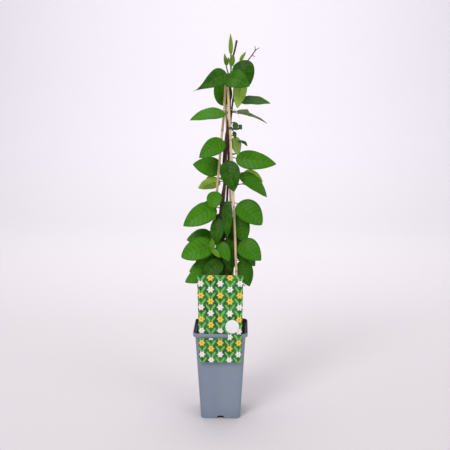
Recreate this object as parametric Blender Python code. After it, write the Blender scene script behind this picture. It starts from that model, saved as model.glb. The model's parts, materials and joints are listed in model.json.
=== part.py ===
"""Potted climbing honeysuckle: three leafy stems on three canes in a tall square pot.

Frame: +Z up, the pot's front face looks along -Y, the origin is the centre of the
pot's flat underside. Lengths below are in millimetres and turned to metres on use.
"""
import math

import bmesh
import bpy
from mathutils import Matrix, Vector

MM = 0.001

# pot
POT_HEIGHT = 178.0
RIM_HALF = 53.0
BASE_HALF = 39.0
BODY_TOP_HALF = 48.6
COLLAR_HEIGHT = 8.0
WALL = 1.6
FLOOR = 2.0
CORNER_RADIUS = 10.0
CORNER_STEPS = 5
RIM_RADIUS = 13.0
NOTCH_FOOT = 19.5
NOTCH_TOP = 10.5
NOTCH_HEIGHT = 6.2
NOTCH_REACH = 8.0
NOTCH_OVERRUN = 2.0
EDGE_ROUND = 0.8
RIM_EDGE = 0.4

# soil
GAP = 0.4
SOIL_TOP = 160.0
SOIL_SWELL = 2.0
PLUG_HALF = 7.4
PLUG_TOP_HALF = 6.0
PLUG_FOOT = 0.5
PLUG_TOP = 3.5

# canes, stems and their holes
CANE_RADIUS = 2.65
CANE_TOP_RADIUS = 2.4
CANE_SIDES = 8
STEM_SIDES = 6
STEM_TAPER = 3
HOLE_SIDES = 12
HOLE_PLAY = 0.45
HOLE_ABOVE = 12.0
HOLE_BELOW = 1.0

# leaves
BLADE = 0.9
PETIOLE = 0.85
PETIOLE_SIDES = 5
STATIONS = (0.0, 0.05, 0.15, 0.28, 0.42, 0.57, 0.72, 0.87, 1.0)
FOOT_ROUND = 0.5
FOLD = 0.16
RIPPLES = 4.4
FOOT_LEAST = 0.9
TIP_LEAST = 0.5
SHOOT_NODES = (337, 703, 690)

# label and sticker
SHEET = 0.8
STICKER_RADIUS = 13.2
STICKER_PLACE = (23.0, 193.5)
STICKER_THICKNESS = 0.7
STICKER_SIDES = 28

# each cane: points (x, y, z) from foot to top
CANES = {
    "cane_left": [(-35, -10, 75), (-30, -8, 160), (-21, -5.1, 287), (-11.5, -2.5, 403),
                  (-6, -1.1, 463), (1.6, 0.8, 549), (6.5, 2, 602), (9.6, 3.4, 664)],
    "cane_right": [(37, -24.7, 75), (35, -22, 160), (30.5, -18, 287), (26, -14.4, 400),
                   (21.2, -11.2, 500), (17.8, -9.2, 565), (15.7, -8, 602), (12.8, -6.4, 655)],
    "cane_back": [(26, 29, 60), (25.5, 26, 160), (22.5, 20.5, 300), (18, 14.6, 445),
                  (12.5, 10.2, 555), (10, 8.3, 602), (10, 8.2, 612)],
}

# each stem: points (x, y, z) from soil to growing tip, foot radius, tip radius
STEMS = {
    "vine_a": ([(-6, -6, 138), (-8, -8, 285), (-6, -8, 345), (1.5, -8, 400), (7.5, -7.5, 450),
                (9.5, -6, 505), (13, -4, 550), (17, 1, 595), (19, 0, 668), (19, -1, 706)], 2.3, 1.0),
    "vine_b": ([(8, -4, 138), (12, -4, 305), (11, -3, 395), (13, -1, 450), (15, 0, 500),
                (15.6, 1.5, 541), (22, 4, 612), (30, 3, 660), (37, 2, 692)], 2.2, 0.9),
    "vine_c": ([(2, 10, 138), (0, 12, 260), (-4, 12, 345), (0, 9, 420), (7, 6, 466),
                (5, 4, 500), (9.5, 3, 550), (14, 5.5, 575), (17.5, 7.5, 602), (15, 9, 660),
                (11, 9.5, 680), (8, 8, 702)], 2.2, 0.8),
}

# side twigs: stem, points, foot radius, tip radius
TWIGS = [
    ("vine_a", [(19, 0, 686), (23, 4, 700), (26, 5, 711), (30, 6, 730)], 1.6, 1.9),
    ("vine_a", [(-6.4, -8, 332), (-11, -20, 335), (-16, -33, 338), (-16, -34, 341)], 0.9, 0.8),
    ("vine_b", [(34, 2, 678), (41, -4, 684), (52, -6, 694), (66, -6, 713)], 1.3, 1.0),
    ("vine_b", [(64, -6, 710), (64, -6.5, 716), (63, -7, 719)], 0.7, 0.5),
    ("vine_b", [(65, -6, 712), (69, -5, 714), (72, -4.5, 716)], 0.7, 0.5),
    ("vine_b", [(57, -6, 701), (61, -7, 701), (64, -8, 699)], 0.7, 0.5),
]

# each leaf: stem, height of its node, foot of the blade, tip, width, lean of the upper face
# from straight up towards the front, arch as a share of length, twist in degrees, wave,
# and how far its tip is drawn out
LEAVES = [
    ("vine_a", 668, (13, -14, 667), (-50, -28, 636), 36, 66, 0.08, -40, 0.6, 1.80),
    ("vine_a", 656, (10, -20, 659), (54, -36, 645), 40, 62, 0.18, 0, 0.5, 0.85),
    ("vine_a", 597, (9, -11, 594), (-57, -20, 583), 34, 38, 0.08, 0, 0.5, 0.85),
    ("vine_a", 543, (7, -11, 543), (-40, -24, 513), 35, 66, 0.10, 0, 0.6, 0.85),
    ("vine_a", 511, (13, -20, 507), (26, -32, 450), 38, 80, 0.10, 0, 0.6, 0.85),
    ("vine_a", 432, (-9, -13, 448), (-14, -32, 419), 29, 48, 0.10, 0, 0.2, 0.50),
    ("vine_a", 414, (-9, -12, 417), (-71, -24, 383), 42, 66, 0.08, 0, 0.6, 0.85),
    ("vine_a", 400, (-4, -16, 396), (-9, -27, 346), 27, 74, 0.08, 12, 0.5, 0.85),
    ("vine_a", 350, (-3, -22, 351), (17, -36, 317), 26, 68, 0.08, 0, 0.4, 0.85),
    ("vine_a", 345, (-13, -17, 347), (-75, -30, 323), 44, 62, 0.08, 0, 0.6, 0.70),
    ("vine_a", 330, (-18, -12, 330), (-48, -20, 300), 30, 64, 0.06, 0, 0.5, 0.85),
    ("vine_a", 318, (1, -22, 314), (-36, -36, 281), 34, 66, 0.08, 0, 0.5, 0.85),
    ("vine_a", 312, (-26, -13, 312), (-61, -19, 291), 20, 60, 0.05, 0, 0.4, 0.85),
    ("vine_a", 288, (-22, -20, 292), (-68, -34, 275), 31, 60, 0.08, 0, 0.5, 0.85),
    ("vine_a", 337, (-16, -34, 341), (-15, -38, 361), 12, 80, 0.06, 0, 0.2, 0.85),
    ("vine_a", 337, (-15.6, -34, 340), (0, -42, 325), 11, 60, 0.06, 0, 0.2, 0.85),
    ("vine_a", 703, (19, -1, 704), (18, -5, 741), 8, 80, 0.05, 30, 0.2, 0.85),
    ("vine_a", 703, (19.4, -0.6, 704), (21, 2, 731), 6, -70, 0.05, 0, 0.2, 0.85),
    ("vine_a", 682, (20, -5, 682), (23, -11, 703), 11, 70, 0.06, 0, 0.3, 0.60),
    ("vine_b", 688, (34, -2, 691), (55, -5, 648), 42, 80, 0.08, 0, 0.6, 0.85),
    ("vine_b", 690, (36.8, 2, 691.5), (47, 3, 709), 6, 60, 0.05, 0, 0.2, 0.85),
    ("vine_b", 690, (36.6, 2.2, 691), (40, 6, 704), 5, -60, 0.05, 0, 0.2, 0.85),
    ("vine_b", 650, (40, -8, 661), (31, -13, 605), 26, -84, 0.05, 0, 0.5, 0.85),
    ("vine_b", 618, (36, -2, 618), (93, -12, 614), 28, 36, 0.05, 0, 0.8, 0.85),
    ("vine_b", 597, (30, -5, 596), (87, -14, 577), 28, -14, 0.06, 0, 0.6, 0.95),
    ("vine_b", 576, (27, -12, 579), (29, -16, 564), 11, 84, 0.04, 0, 0.3, 0.70),
    ("vine_b", 565, (25, -3, 561), (28, -7, 549), 8, 80, 0.05, 0, 0.3, 0.85),
    ("vine_b", 553, (27, -6, 552), (33, -11, 516), 19, -84, 0.06, 0, 0.5, 0.85),
    ("vine_b", 541, (31, -4, 543), (50, -20, 535), 11, 12, 0.14, 0, 0.4, 0.60),
    ("vine_b", 512, (29, -8, 511), (105, -20, 501), 36, 78, 0.07, 0, 0.5, 0.85),
    ("vine_b", 481, (37, -6, 481), (88, -18, 438), 32, 40, 0.08, 0, 0.5, 0.90),
    ("vine_b", 475, (44, 5, 483), (81, 14, 463), 24, -60, 0.06, 0, 0.5, 0.85),
    ("vine_b", 427, (32.5, -8, 424), (79, -21, 385), 46, 56, 0.14, 0, 0.5, 0.75),
    ("vine_b", 428, (12.5, -16, 431), (13, -28, 361), 21, 78, 0.06, 0, 0.5, 0.85),
    ("vine_b", 404, (33, -2, 404), (46, -5, 346), 36, 86, 0.05, 0, 0.5, 0.85),
    ("vine_b", 385, (24, 8, 384), (32, 9, 318), 34, 86, 0.03, 0, 0.4, 0.85),
    ("vine_c", 330, (8, 8, 326), (9, 7, 258), 34, 88, 0.02, 0, 0.4, 0.85),
    ("vine_b", 358, (13, -8, 356), (20, -8, 288), 32, 88, 0.02, 0, 0.5, 0.85),
    ("vine_b", 350, (37, -6, 348), (78, -23, 316), 42, 64, 0.10, 0, 0.5, 0.85),
    ("vine_b", 333, (33, 4, 333), (67, 4, 299), 32, 64, 0.08, 0, 0.5, 0.85),
    ("vine_b", 308, (40, -4, 312), (56, -9, 261), 33, 78, 0.06, 0, 0.5, 0.85),
    ("vine_c", 690, (10.6, 9.3, 684), (7, 5, 706), 7, 70, 0.05, 0, 0.2, 0.85),
    ("vine_c", 690, (10.6, 9.3, 684), (15, 6, 699), 6, 60, 0.05, 0, 0.2, 0.85),
    ("vine_c", 607, (7, 14, 609), (0, 18, 668), 35, 86, 0.04, 0, 0.4, 0.70),
    ("vine_c", 496, (1, 11, 489), (-54, 7, 498), 38, 74, 0.06, 0, 0.5, 0.85),
    ("vine_c", 464, (-1, 8, 465), (-44, 6, 452), 28, -62, 0.06, 0, 0.6, 0.85),
    ("vine_c", 404, (-1, 12, 402), (-4, 12, 334), 32, 88, 0.02, 0, 0.4, 0.85),
    ("vine_c", 352, (-17, 8, 357), (-67, 5, 350), 34, 60, 0.08, 0, 0.6, 0.85),
    ("vine_c", 342, (-3, 3, 340), (-4, 2, 282), 26, 88, 0.02, 0, 0.4, 0.85),
    ("vine_c", 640, (20, 17, 652), (46, 56, 645), 30, -10, 0.10, 0, 0.6, 0.85),
    ("vine_c", 645, (9, 18, 655), (-18, 58, 646), 30, -10, 0.10, 0, 0.6, 0.85),
    ("vine_c", 593, (22, 16, 597), (54, 50, 592), 32, -10, 0.08, 0, 0.6, 0.85),
    ("vine_c", 588, (14, 15, 595), (-14, 57, 591), 30, -12, 0.08, 0, 0.6, 0.85),
    ("vine_b", 520, (22, 10, 516), (50, 48, 508), 31, -12, 0.10, 0, 0.6, 0.85),
    ("vine_c", 522, (0, 13, 524), (-34, 46, 518), 32, -15, 0.08, 0, 0.6, 0.85),
    ("vine_c", 470, (1, 15, 468), (-28, 52, 460), 32, -15, 0.10, 0, 0.6, 0.85),
    ("vine_b", 454, (25, 6, 456), (60, 42, 450), 34, -12, 0.10, 0, 0.6, 0.85),
    ("vine_c", 419, (-6, 18, 418), (-30, 58, 408), 34, -18, 0.10, 0, 0.6, 0.85),
    ("vine_b", 402, (29.5, 5.5, 400), (60, 40, 392), 33, -15, 0.10, 0, 0.6, 0.85),
    ("vine_c", 366, (-10, 19, 362), (-42, 50, 353), 32, -15, 0.10, 0, 0.6, 0.85),
    ("vine_c", 352, (3, 22, 354), (20, 62, 344), 32, -20, 0.10, 0, 0.6, 0.85),
    ("vine_b", 320, (30, 6, 322), (60, 38, 314), 32, -15, 0.10, 0, 0.6, 0.85),
    ("vine_c", 304, (-8, 22, 308), (-34, 56, 298), 32, -20, 0.10, 0, 0.6, 0.85),
    ("vine_c", 266, (17, 5, 268), (48, 5, 258), 25, -20, 0.10, 0, 0.6, 0.85),
    ("vine_c", 262, (-10, 17, 262), (-40, 40, 250), 30, -25, 0.10, 0, 0.6, 0.85),
]

# thread: ring points (x, y) around canes and stems, then its loose tail
TIE_HEIGHT = 602.0
TIE_RADIUS = 0.6
TIE_RING = [(2.7, 1.6), (4.2, -1.6), (8, -2.9), (13, -2.8), (18, -2.4), (23, -0.6), (26.4, 2.2),
            (26.6, 5.4), (23, 9.2), (18, 11.8), (12.5, 13), (8, 12.4), (5, 9.6), (3.2, 5.6)]
TIE_TAIL = [(26, 2, 602), (28.5, -3, 600), (30, -10, 597), (33, -13, 592), (36, -14, 587)]

CLIP_CENTRE = (17.65, -9.1)
CLIP_FOOT = 566.0
CLIP_HEIGHT = 4.0
CLIP_INNER = 3.2
CLIP_OUTER = 4.7
CLIP_BAR_END = 34.5
CLIP_BLOCK_END = 40.5

LABEL_COLUMNS = (-44, -33, -22, -14, -6, 1, 8, 16, 26, 35, 44)
LABEL_ROWS = (122, 139, 156, 170, 179.4, 192, 206, 225, 258, 292)
LABEL_FRONT = -54.6
LABEL_BEHIND = -50.0
LABEL_BACK_TOP = -46.5
LABEL_FOOT_SHARE = 0.91
SLIT_ROW = 3
SLIT_END = 7
BRIDGE_START = 4
LEDGE_FOOT = 172.4


def vec(point):
    return Vector(point) * MM


def blend(low, high, share):
    return low + (high - low) * share


def new_object(name, verts, faces, material=None):
    """Closed mesh object with its faces turned outward."""
    mesh = bpy.data.meshes.new(name)
    mesh.from_pydata([tuple(v) for v in verts], [], faces)
    work = bmesh.new()
    work.from_mesh(mesh)
    bmesh.ops.recalc_face_normals(work, faces=work.faces)
    work.to_mesh(mesh)
    work.free()
    obj = bpy.data.objects.new(name, mesh)
    bpy.context.scene.collection.objects.link(obj)
    if material is not None:
        mesh.materials.append(material)
    return obj


def new_material(name, colour, roughness):
    material = bpy.data.materials.new(name)
    material.use_nodes = True
    shader = material.node_tree.nodes["Principled BSDF"]
    shader.inputs["Base Color"].default_value = (*colour, 1.0)
    shader.inputs["Roughness"].default_value = roughness
    material.diffuse_color = (*colour, 1.0)
    return material


def loft(rings):
    """Closed skin over rings of equal point count, both ends capped."""
    count = len(rings[0])
    verts = [point for ring in rings for point in ring]
    faces = []
    for r in range(len(rings) - 1):
        for k in range(count):
            a, b = r * count + k, r * count + (k + 1) % count
            faces.append((a, b, b + count, a + count))
    faces.append(tuple(reversed(range(count))))
    last = (len(rings) - 1) * count
    faces.append(tuple(range(last, last + count)))
    return verts, faces


def tube(points, radii, sides):
    """Tube along points (metres), its rings carried along without twist."""
    points = [Vector(p) for p in points]
    tangents = []
    for k in range(len(points)):
        ahead = points[min(k + 1, len(points) - 1)]
        behind = points[max(k - 1, 0)]
        tangents.append((ahead - behind).normalized())
    across = tangents[0].orthogonal().normalized()
    rings = []
    for k, tangent in enumerate(tangents):
        across = (across - tangent * across.dot(tangent)).normalized()
        other = tangent.cross(across)
        rings.append([points[k] + radii[k] * (across * math.cos(a) + other * math.sin(a))
                      for a in (2 * math.pi * s / sides for s in range(sides))])
    return loft(rings)


def smooth_path(points, steps):
    """Points of a smooth curve through the given points (Catmull-Rom)."""
    ends = [2 * points[0] - points[1]] + list(points) + [2 * points[-1] - points[-2]]
    path = []
    for k in range(1, len(ends) - 2):
        p0, p1, p2, p3 = ends[k - 1:k + 3]
        for s in range(steps):
            t = s / steps
            path.append(0.5 * (2 * p1 + (p2 - p0) * t + (2 * p0 - 5 * p1 + 4 * p2 - p3) * t * t
                               + (3 * p1 - p0 - 3 * p2 + p3) * t ** 3))
    path.append(points[-1].copy())
    return path


def path_tube(points, foot_radius, tip_radius, sides, steps, taper=1):
    """Tube along a smooth path, its radius changing with a power of the share travelled."""
    path = smooth_path([vec(p) for p in points], steps)
    last = len(path) - 1
    radii = [blend(foot_radius, tip_radius, (k / last) ** taper) * MM for k in range(len(path))]
    return tube(path, radii, sides)


def rounded_square(half, radius, height):
    ring = []
    for quarter in range(4):
        turn = quarter * math.pi / 2
        centre = Vector((math.copysign(half - radius, math.cos(turn + math.pi / 4)),
                         math.copysign(half - radius, math.sin(turn + math.pi / 4)), height))
        for s in range(CORNER_STEPS + 1):
            angle = turn + s * math.pi / 2 / CORNER_STEPS
            ring.append((centre + radius * Vector((math.cos(angle), math.sin(angle), 0))) * MM)
    return ring


def inner_half(height):
    """Half width of the pot's inside below the collar."""
    share = height / (POT_HEIGHT - COLLAR_HEIGHT)
    return blend(BASE_HALF, BODY_TOP_HALF, share) - WALL


def boolean(obj, operation, operand):
    """Applies one exact Boolean and removes what it used up."""
    modifier = obj.modifiers.new("shape", "BOOLEAN")
    modifier.operation = operation
    modifier.solver = "EXACT"
    if isinstance(operand, bpy.types.Collection):
        modifier.operand_type = "COLLECTION"
        modifier.collection = operand
        used = list(operand.objects)
    else:
        modifier.object = operand
        used = [operand]
    graph = bpy.context.evaluated_depsgraph_get()
    mesh = bpy.data.meshes.new_from_object(obj.evaluated_get(graph))
    obj.modifiers.clear()
    old, obj.data = obj.data, mesh
    bpy.data.meshes.remove(old)
    mesh.name = obj.name
    for other in used:
        bpy.data.objects.remove(other)
    if isinstance(operand, bpy.types.Collection):
        bpy.data.collections.remove(operand)


def join_solids(solids):
    """One vertex and face list from several separate solids."""
    verts, faces = [], []
    for solid_verts, solid_faces in solids:
        start = len(verts)
        verts.extend(solid_verts)
        faces.extend(tuple(start + index for index in face) for face in solid_faces)
    return verts, faces


def fuse(name, solids, material):
    """First solid joined with all the others into one body."""
    obj = new_object(name, *solids[0], material)
    group = bpy.data.collections.new(name + "_pieces")
    bpy.context.scene.collection.children.link(group)
    for k, (verts, faces) in enumerate(solids[1:]):
        piece = new_object(f"{name}_piece_{k}", verts, faces)
        bpy.context.scene.collection.objects.unlink(piece)
        group.objects.link(piece)
    boolean(obj, "UNION", group)
    return obj


def build_pot(material):
    body_top = POT_HEIGHT - COLLAR_HEIGHT
    inner_radius = CORNER_RADIUS - WALL
    rings = [
        rounded_square(BASE_HALF - EDGE_ROUND, CORNER_RADIUS - EDGE_ROUND, 0),
        rounded_square(BASE_HALF, CORNER_RADIUS, EDGE_ROUND),
        rounded_square(BODY_TOP_HALF, CORNER_RADIUS, body_top),
        rounded_square(RIM_HALF - RIM_EDGE, RIM_RADIUS, body_top),
        rounded_square(RIM_HALF, RIM_RADIUS, POT_HEIGHT - RIM_EDGE),
        rounded_square(RIM_HALF - RIM_EDGE, RIM_RADIUS - RIM_EDGE, POT_HEIGHT),
        rounded_square(RIM_HALF - WALL, RIM_RADIUS - WALL, POT_HEIGHT),
        rounded_square(RIM_HALF - WALL - 0.3, RIM_RADIUS - WALL - 0.2, body_top + WALL),
        rounded_square(inner_half(body_top), inner_radius, body_top + WALL),
        rounded_square(inner_half(FLOOR), inner_radius, FLOOR),
    ]
    pot = new_object("pot", *loft(rings), material)
    notches = []
    for quarter in range(4):
        turn = Matrix.Rotation(quarter * math.pi / 2, 3, "Z")
        ring_pair = []
        for reach in (-BASE_HALF - NOTCH_OVERRUN, -BASE_HALF + NOTCH_REACH):
            ring_pair.append([turn @ vec((x, reach, z)) for x, z in (
                (-NOTCH_FOOT / 2, -NOTCH_OVERRUN), (NOTCH_FOOT / 2, -NOTCH_OVERRUN),
                (NOTCH_TOP / 2, NOTCH_HEIGHT), (-NOTCH_TOP / 2, NOTCH_HEIGHT))])
        notches.append(loft(ring_pair))
    boolean(pot, "DIFFERENCE", new_object("notches", *join_solids(notches)))
    return pot


def hole(foot, top, radius):
    """Plain round hole along the straight line from foot to top."""
    above = vec(top) + (vec(top) - vec(foot)).normalized() * HOLE_ABOVE * MM
    below = vec(foot) - (vec(top) - vec(foot)).normalized() * HOLE_BELOW * MM
    return tube([below, above], [radius * MM] * 2, HOLE_SIDES)


def soil_plug(quarter):
    """Soil that fills the drain notch of one side, down almost to the floor."""
    turn = Matrix.Rotation(quarter * math.pi / 2, 3, "Z")
    front = -BASE_HALF + WALL + GAP
    rings = []
    for reach in (front, front + NOTCH_REACH - WALL - 2 * GAP):
        rings.append([turn @ vec((x, reach, z)) for x, z in (
            (-PLUG_HALF, PLUG_FOOT), (PLUG_HALF, PLUG_FOOT),
            (PLUG_TOP_HALF, PLUG_TOP), (-PLUG_TOP_HALF, PLUG_TOP))])
    return loft(rings)


def build_soil(material):
    foot = FLOOR + GAP
    inset = GAP + 0.1
    radius = CORNER_RADIUS - WALL
    rings = [rounded_square(inner_half(foot) - inset, radius, foot),
             rounded_square(inner_half(SOIL_TOP) - inset, radius, SOIL_TOP)]
    for share in (0.78, 0.52, 0.26):
        ring = rounded_square((inner_half(SOIL_TOP) - inset) * share, radius * share, SOIL_TOP)
        for k, point in enumerate(ring):
            uneven = 0.5 * math.sin(2.3 * k + 5 * share) if share > 0.5 else 0.0
            point.z += SOIL_SWELL * MM * (1 - share + uneven)
        rings.append(ring)
    soil = fuse("soil", [loft(rings)] + [soil_plug(quarter) for quarter in range(4)], material)
    work = bmesh.new()
    work.from_mesh(soil.data)
    bmesh.ops.triangulate(work, faces=work.faces)
    work.to_mesh(soil.data)
    work.free()
    holes = [hole(points[0], points[1], CANE_RADIUS + HOLE_PLAY) for points in CANES.values()]
    for points, foot_radius, _ in STEMS.values():
        share = (SOIL_TOP - points[0][2]) / (points[1][2] - points[0][2])
        surface = [blend(a, b, share) for a, b in zip(points[0], points[1])]
        holes.append(hole(points[0], surface, foot_radius + HOLE_PLAY + 0.1))
    boolean(soil, "DIFFERENCE", new_object("holes", *join_solids(holes)))
    return soil


def build_cane(name, material):
    points = CANES[name]
    straight = [vec(points[0])]
    path = straight + smooth_path([vec(p) for p in points[1:]], 2)
    last = len(path) - 1
    radii = [blend(CANE_RADIUS, CANE_TOP_RADIUS, k / last) * MM for k in range(len(path))]
    return new_object(name, *tube(path, radii, CANE_SIDES), material)


def stem_point(name, height):
    """Point of a stem's centre line at a height."""
    points = STEMS[name][0]
    path = smooth_path([vec(p) for p in points], 4)
    height *= MM
    for low, high in zip(path, path[1:]):
        if low.z <= height <= high.z:
            return low.lerp(high, (height - low.z) / (high.z - low.z))
    return path[-1].copy()


def leaf_outline(t, point):
    """Share of the half width at a share of the length: round foot, drawn-out tip."""
    widest = FOOT_ROUND / (FOOT_ROUND + point)
    return (t / widest) ** FOOT_ROUND * (max(1 - t, 0) / (1 - widest)) ** point


def leaf_blade(foot, tip, width, lean, arch, twist, wave, point):
    """Folded and waved blade of even thickness, split alike on both faces."""
    foot, tip = vec(foot), vec(tip)
    axis = (tip - foot).normalized()
    length = (tip - foot).length
    angle = math.radians(lean)
    face = Vector((0, -math.sin(angle), math.cos(angle)))
    face = (face - axis * face.dot(axis)).normalized()
    verts = []
    for t in STATIONS:
        turned = Matrix.Rotation(math.radians(twist) * t * t, 3, axis) @ face
        side = axis.cross(turned)
        middle = foot + axis * length * t + turned * arch * length * 4 * t * (1 - t)
        least = FOOT_LEAST if t < 0.5 else TIP_LEAST
        half = max(0.5 * width * leaf_outline(t, point), least) * MM
        fold = FOLD * half
        ripple = wave * MM * math.sin(math.pi * t) * math.sin(RIPPLES * math.pi * t + length * 200)
        left = middle - side * half + turned * (fold + ripple)
        right = middle + side * half + turned * (fold - ripple)
        lift = turned * BLADE * MM / 2
        verts.extend([left + lift, middle + lift, right + lift,
                      left - lift, middle - lift, right - lift])
    faces = []
    for s in range(len(STATIONS) - 1):
        a = 6 * s
        b = a + 6
        for k in (0, 1):
            faces += [(a + k, a + k + 1, b + k), (a + k + 1, b + k + 1, b + k)]
            faces += [(a + k + 3, b + k + 3, a + k + 4), (a + k + 4, b + k + 3, b + k + 4)]
        faces += [(a, b, a + 3), (b, b + 3, a + 3), (a + 2, a + 5, b + 2), (b + 2, a + 5, b + 5)]
    cap = [(0, 3, 1), (1, 3, 4), (1, 4, 2), (2, 4, 5)]
    last = 6 * (len(STATIONS) - 1)
    faces += cap + [tuple(last + k for k in reversed(face)) for face in cap]
    return verts, faces


def leaf_stalk(start, foot, tip, arch, lean):
    """Stalk from the stem's centre line into the foot of the blade."""
    axis = (vec(tip) - vec(foot)).normalized()
    angle = math.radians(lean)
    face = Vector((0, -math.sin(angle), math.cos(angle)))
    face = (face - axis * face.dot(axis)).normalized()
    length = (vec(tip) - vec(foot)).length
    reach = min(0.12, 5 * MM / length)
    end = vec(foot) + axis * length * reach + face * arch * length * 4 * reach * (1 - reach)
    middle = start.lerp(vec(foot), 0.6) + Vector((0, 0, 0.8 * MM))
    return tube([start, middle, vec(foot), end], [PETIOLE * MM] * 3 + [0.75 * MM], PETIOLE_SIDES)


def vine_solids(name):
    """Stem, twigs, leaf stalks and blades of one vine, stem first."""
    points, foot_radius, tip_radius = STEMS[name]
    solids = [("stem", path_tube(points, foot_radius, tip_radius, STEM_SIDES, 3, STEM_TAPER))]
    for owner, twig, low, high in TWIGS:
        if owner == name:
            solids.append(("twig %d" % twig[-1][2], path_tube(twig, low, high, STEM_SIDES, 2)))
    for owner, height, foot, tip, width, lean, arch, twist, wave, point in LEAVES:
        if owner != name:
            continue
        label = "leaf %d %d" % (height, tip[0])
        start = stem_point(name, height)
        if height not in SHOOT_NODES:
            solids.append((label + " stalk", leaf_stalk(start, foot, tip, arch, lean)))
        solids.append((label, leaf_blade(foot, tip, width, lean, arch, twist, wave, point)))
    return solids


def build_tie(material):
    ring = [vec((x, y, TIE_HEIGHT)) for x, y in TIE_RING]
    sides = STEM_SIDES
    verts, faces = [], []
    count = len(ring)
    for k, point in enumerate(ring):
        tangent = (ring[(k + 1) % count] - ring[k - 1]).normalized()
        outward = tangent.cross(Vector((0, 0, 1)))
        for s in range(sides):
            angle = 2 * math.pi * s / sides
            verts.append(point + TIE_RADIUS * MM * (outward * math.cos(angle)
                                                    + Vector((0, 0, math.sin(angle)))))
        for s in range(sides):
            n, m = (k + 1) % count, (s + 1) % sides
            faces.append((k * sides + s, k * sides + m, n * sides + m, n * sides + s))
    tail = path_tube(TIE_TAIL, TIE_RADIUS, TIE_RADIUS, sides, 2)
    return fuse("tie", [(verts, faces), tail], material)


def box(low, high):
    x0, y0, z0 = low
    x1, y1, z1 = high
    return loft([[vec(p) for p in ((x0, y0, z), (x1, y0, z), (x1, y1, z), (x0, y1, z))]
                 for z in (z0, z1)])


def build_clip(material):
    cx, cy = CLIP_CENTRE
    angles = [math.radians(-150 + 300 * k / 12) for k in range(13)]
    outline = [(cx + CLIP_OUTER * math.cos(a), cy + CLIP_OUTER * math.sin(a)) for a in angles]
    outline += [(cx + CLIP_INNER * math.cos(a), cy + CLIP_INNER * math.sin(a))
                for a in reversed(angles)]
    rings = [[vec((x, y, z)) for x, y in outline] for z in (CLIP_FOOT, CLIP_FOOT + CLIP_HEIGHT)]
    bar = box((cx + 3.9, cy - 1.3, CLIP_FOOT - 1.5), (CLIP_BAR_END, cy + 1.3, CLIP_FOOT + 2))
    block = box((CLIP_BAR_END - 1, cy - 2, CLIP_FOOT - 0.5),
                (CLIP_BLOCK_END, cy + 1.8, CLIP_FOOT + 8.5))
    return fuse("clip", [loft(rings), bar, block], material)


def label_depth(column, row):
    """Depth of the card: in front of the pot below, behind its rim above."""
    if row <= SLIT_ROW:
        return LABEL_FRONT
    forward = min(max((column - BRIDGE_START) / 2, 0), 1)
    forward *= {4: 1.0, 5: 1.0, 6: 1.0, 7: 0.25}.get(row, 0.0)
    back = blend(LABEL_BEHIND, LABEL_BACK_TOP, max(row - 6, 0) / 3)
    return blend(back, LABEL_FRONT, forward)


def build_label(material):
    """Card threaded on the rim by a side slit, one sheet of even thickness."""
    verts, index = [], {}

    def corner(column, row, tucked):
        key = (column, row, tucked)
        if key not in index:
            height = LEDGE_FOOT if tucked else LABEL_ROWS[row]
            share = (height - LABEL_ROWS[0]) / (LABEL_ROWS[-1] - LABEL_ROWS[0])
            x = LABEL_COLUMNS[column] * blend(LABEL_FOOT_SHARE, 1.0, share)
            y = LABEL_BEHIND if tucked else label_depth(column, row)
            index[key] = len(verts) // 2
            verts.append(vec((x, y - SHEET / 2, height)))
            verts.append(vec((x, y + SHEET / 2, height)))
        return index[key]

    cells = []
    for row in range(len(LABEL_ROWS) - 1):
        for column in range(len(LABEL_COLUMNS) - 1):
            tucked = row == SLIT_ROW and column < BRIDGE_START
            if row == SLIT_ROW and BRIDGE_START <= column < SLIT_END:
                continue
            cells.append((corner(column, row, tucked), corner(column + 1, row, tucked),
                          corner(column + 1, row + 1, False), corner(column, row + 1, False)))
    faces, rims = [], {}
    for a, b, c, d in cells:
        for tri in ((a, b, c), (a, c, d)):
            faces.append(tuple(2 * v for v in tri))
            faces.append(tuple(2 * v + 1 for v in reversed(tri)))
        for edge in ((a, b), (b, c), (c, d), (d, a)):
            rims.setdefault(frozenset(edge), []).append(edge)
    for edges in rims.values():
        if len(edges) == 1:
            a, b = edges[0]
            faces.append((2 * b, 2 * a, 2 * a + 1, 2 * b + 1))
    return new_object("label", verts, faces, material)


def build_sticker(material):
    front = LABEL_FRONT - SHEET / 2 - GAP - STICKER_THICKNESS
    rings = []
    for y in (front, front + STICKER_THICKNESS):
        rings.append([vec((STICKER_PLACE[0] + STICKER_RADIUS * math.cos(a), y,
                           STICKER_PLACE[1] + STICKER_RADIUS * math.sin(a)))
                      for a in (2 * math.pi * s / STICKER_SIDES for s in range(STICKER_SIDES))])
    return new_object("sticker", *loft(rings), material)


def main():
    for obj in list(bpy.data.objects):
        bpy.data.objects.remove(obj)
    plastic = new_material("pot plastic", (0.24, 0.29, 0.37), 0.55)
    build_pot(plastic)
    build_soil(new_material("soil", (0.05, 0.03, 0.02), 0.95))
    cane = new_material("cane", (0.62, 0.44, 0.2), 0.6)
    for name in CANES:
        build_cane(name, cane.copy() if name != "cane_left" else cane)
    for name in STEMS:
        leaf = new_material(name + " leaf", (0.06, 0.2, 0.02), 0.5)
        fuse(name, [solid for _, solid in vine_solids(name)], leaf)
    build_tie(new_material("thread", (0.85, 0.85, 0.82), 0.8))
    build_clip(new_material("clip plastic", (0.05, 0.08, 0.08), 0.5))
    build_label(new_material("card", (0.15, 0.4, 0.08), 0.4))
    build_sticker(new_material("sticker", (0.9, 0.9, 0.9), 0.5))


main()
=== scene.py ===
# %% [markdown]
# # A potted climbing honeysuckle
# A young honeysuckle stands in a tall square nursery pot. Three leafy stems climb three
# canes, a thread ties them together near the top, and a picture card hangs on the rim.
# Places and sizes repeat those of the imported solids. This lesson dresses them: fine leaves
# with veins, barky stems, jointed canes, crumbly soil, moulded plastic and a printed card.

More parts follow.
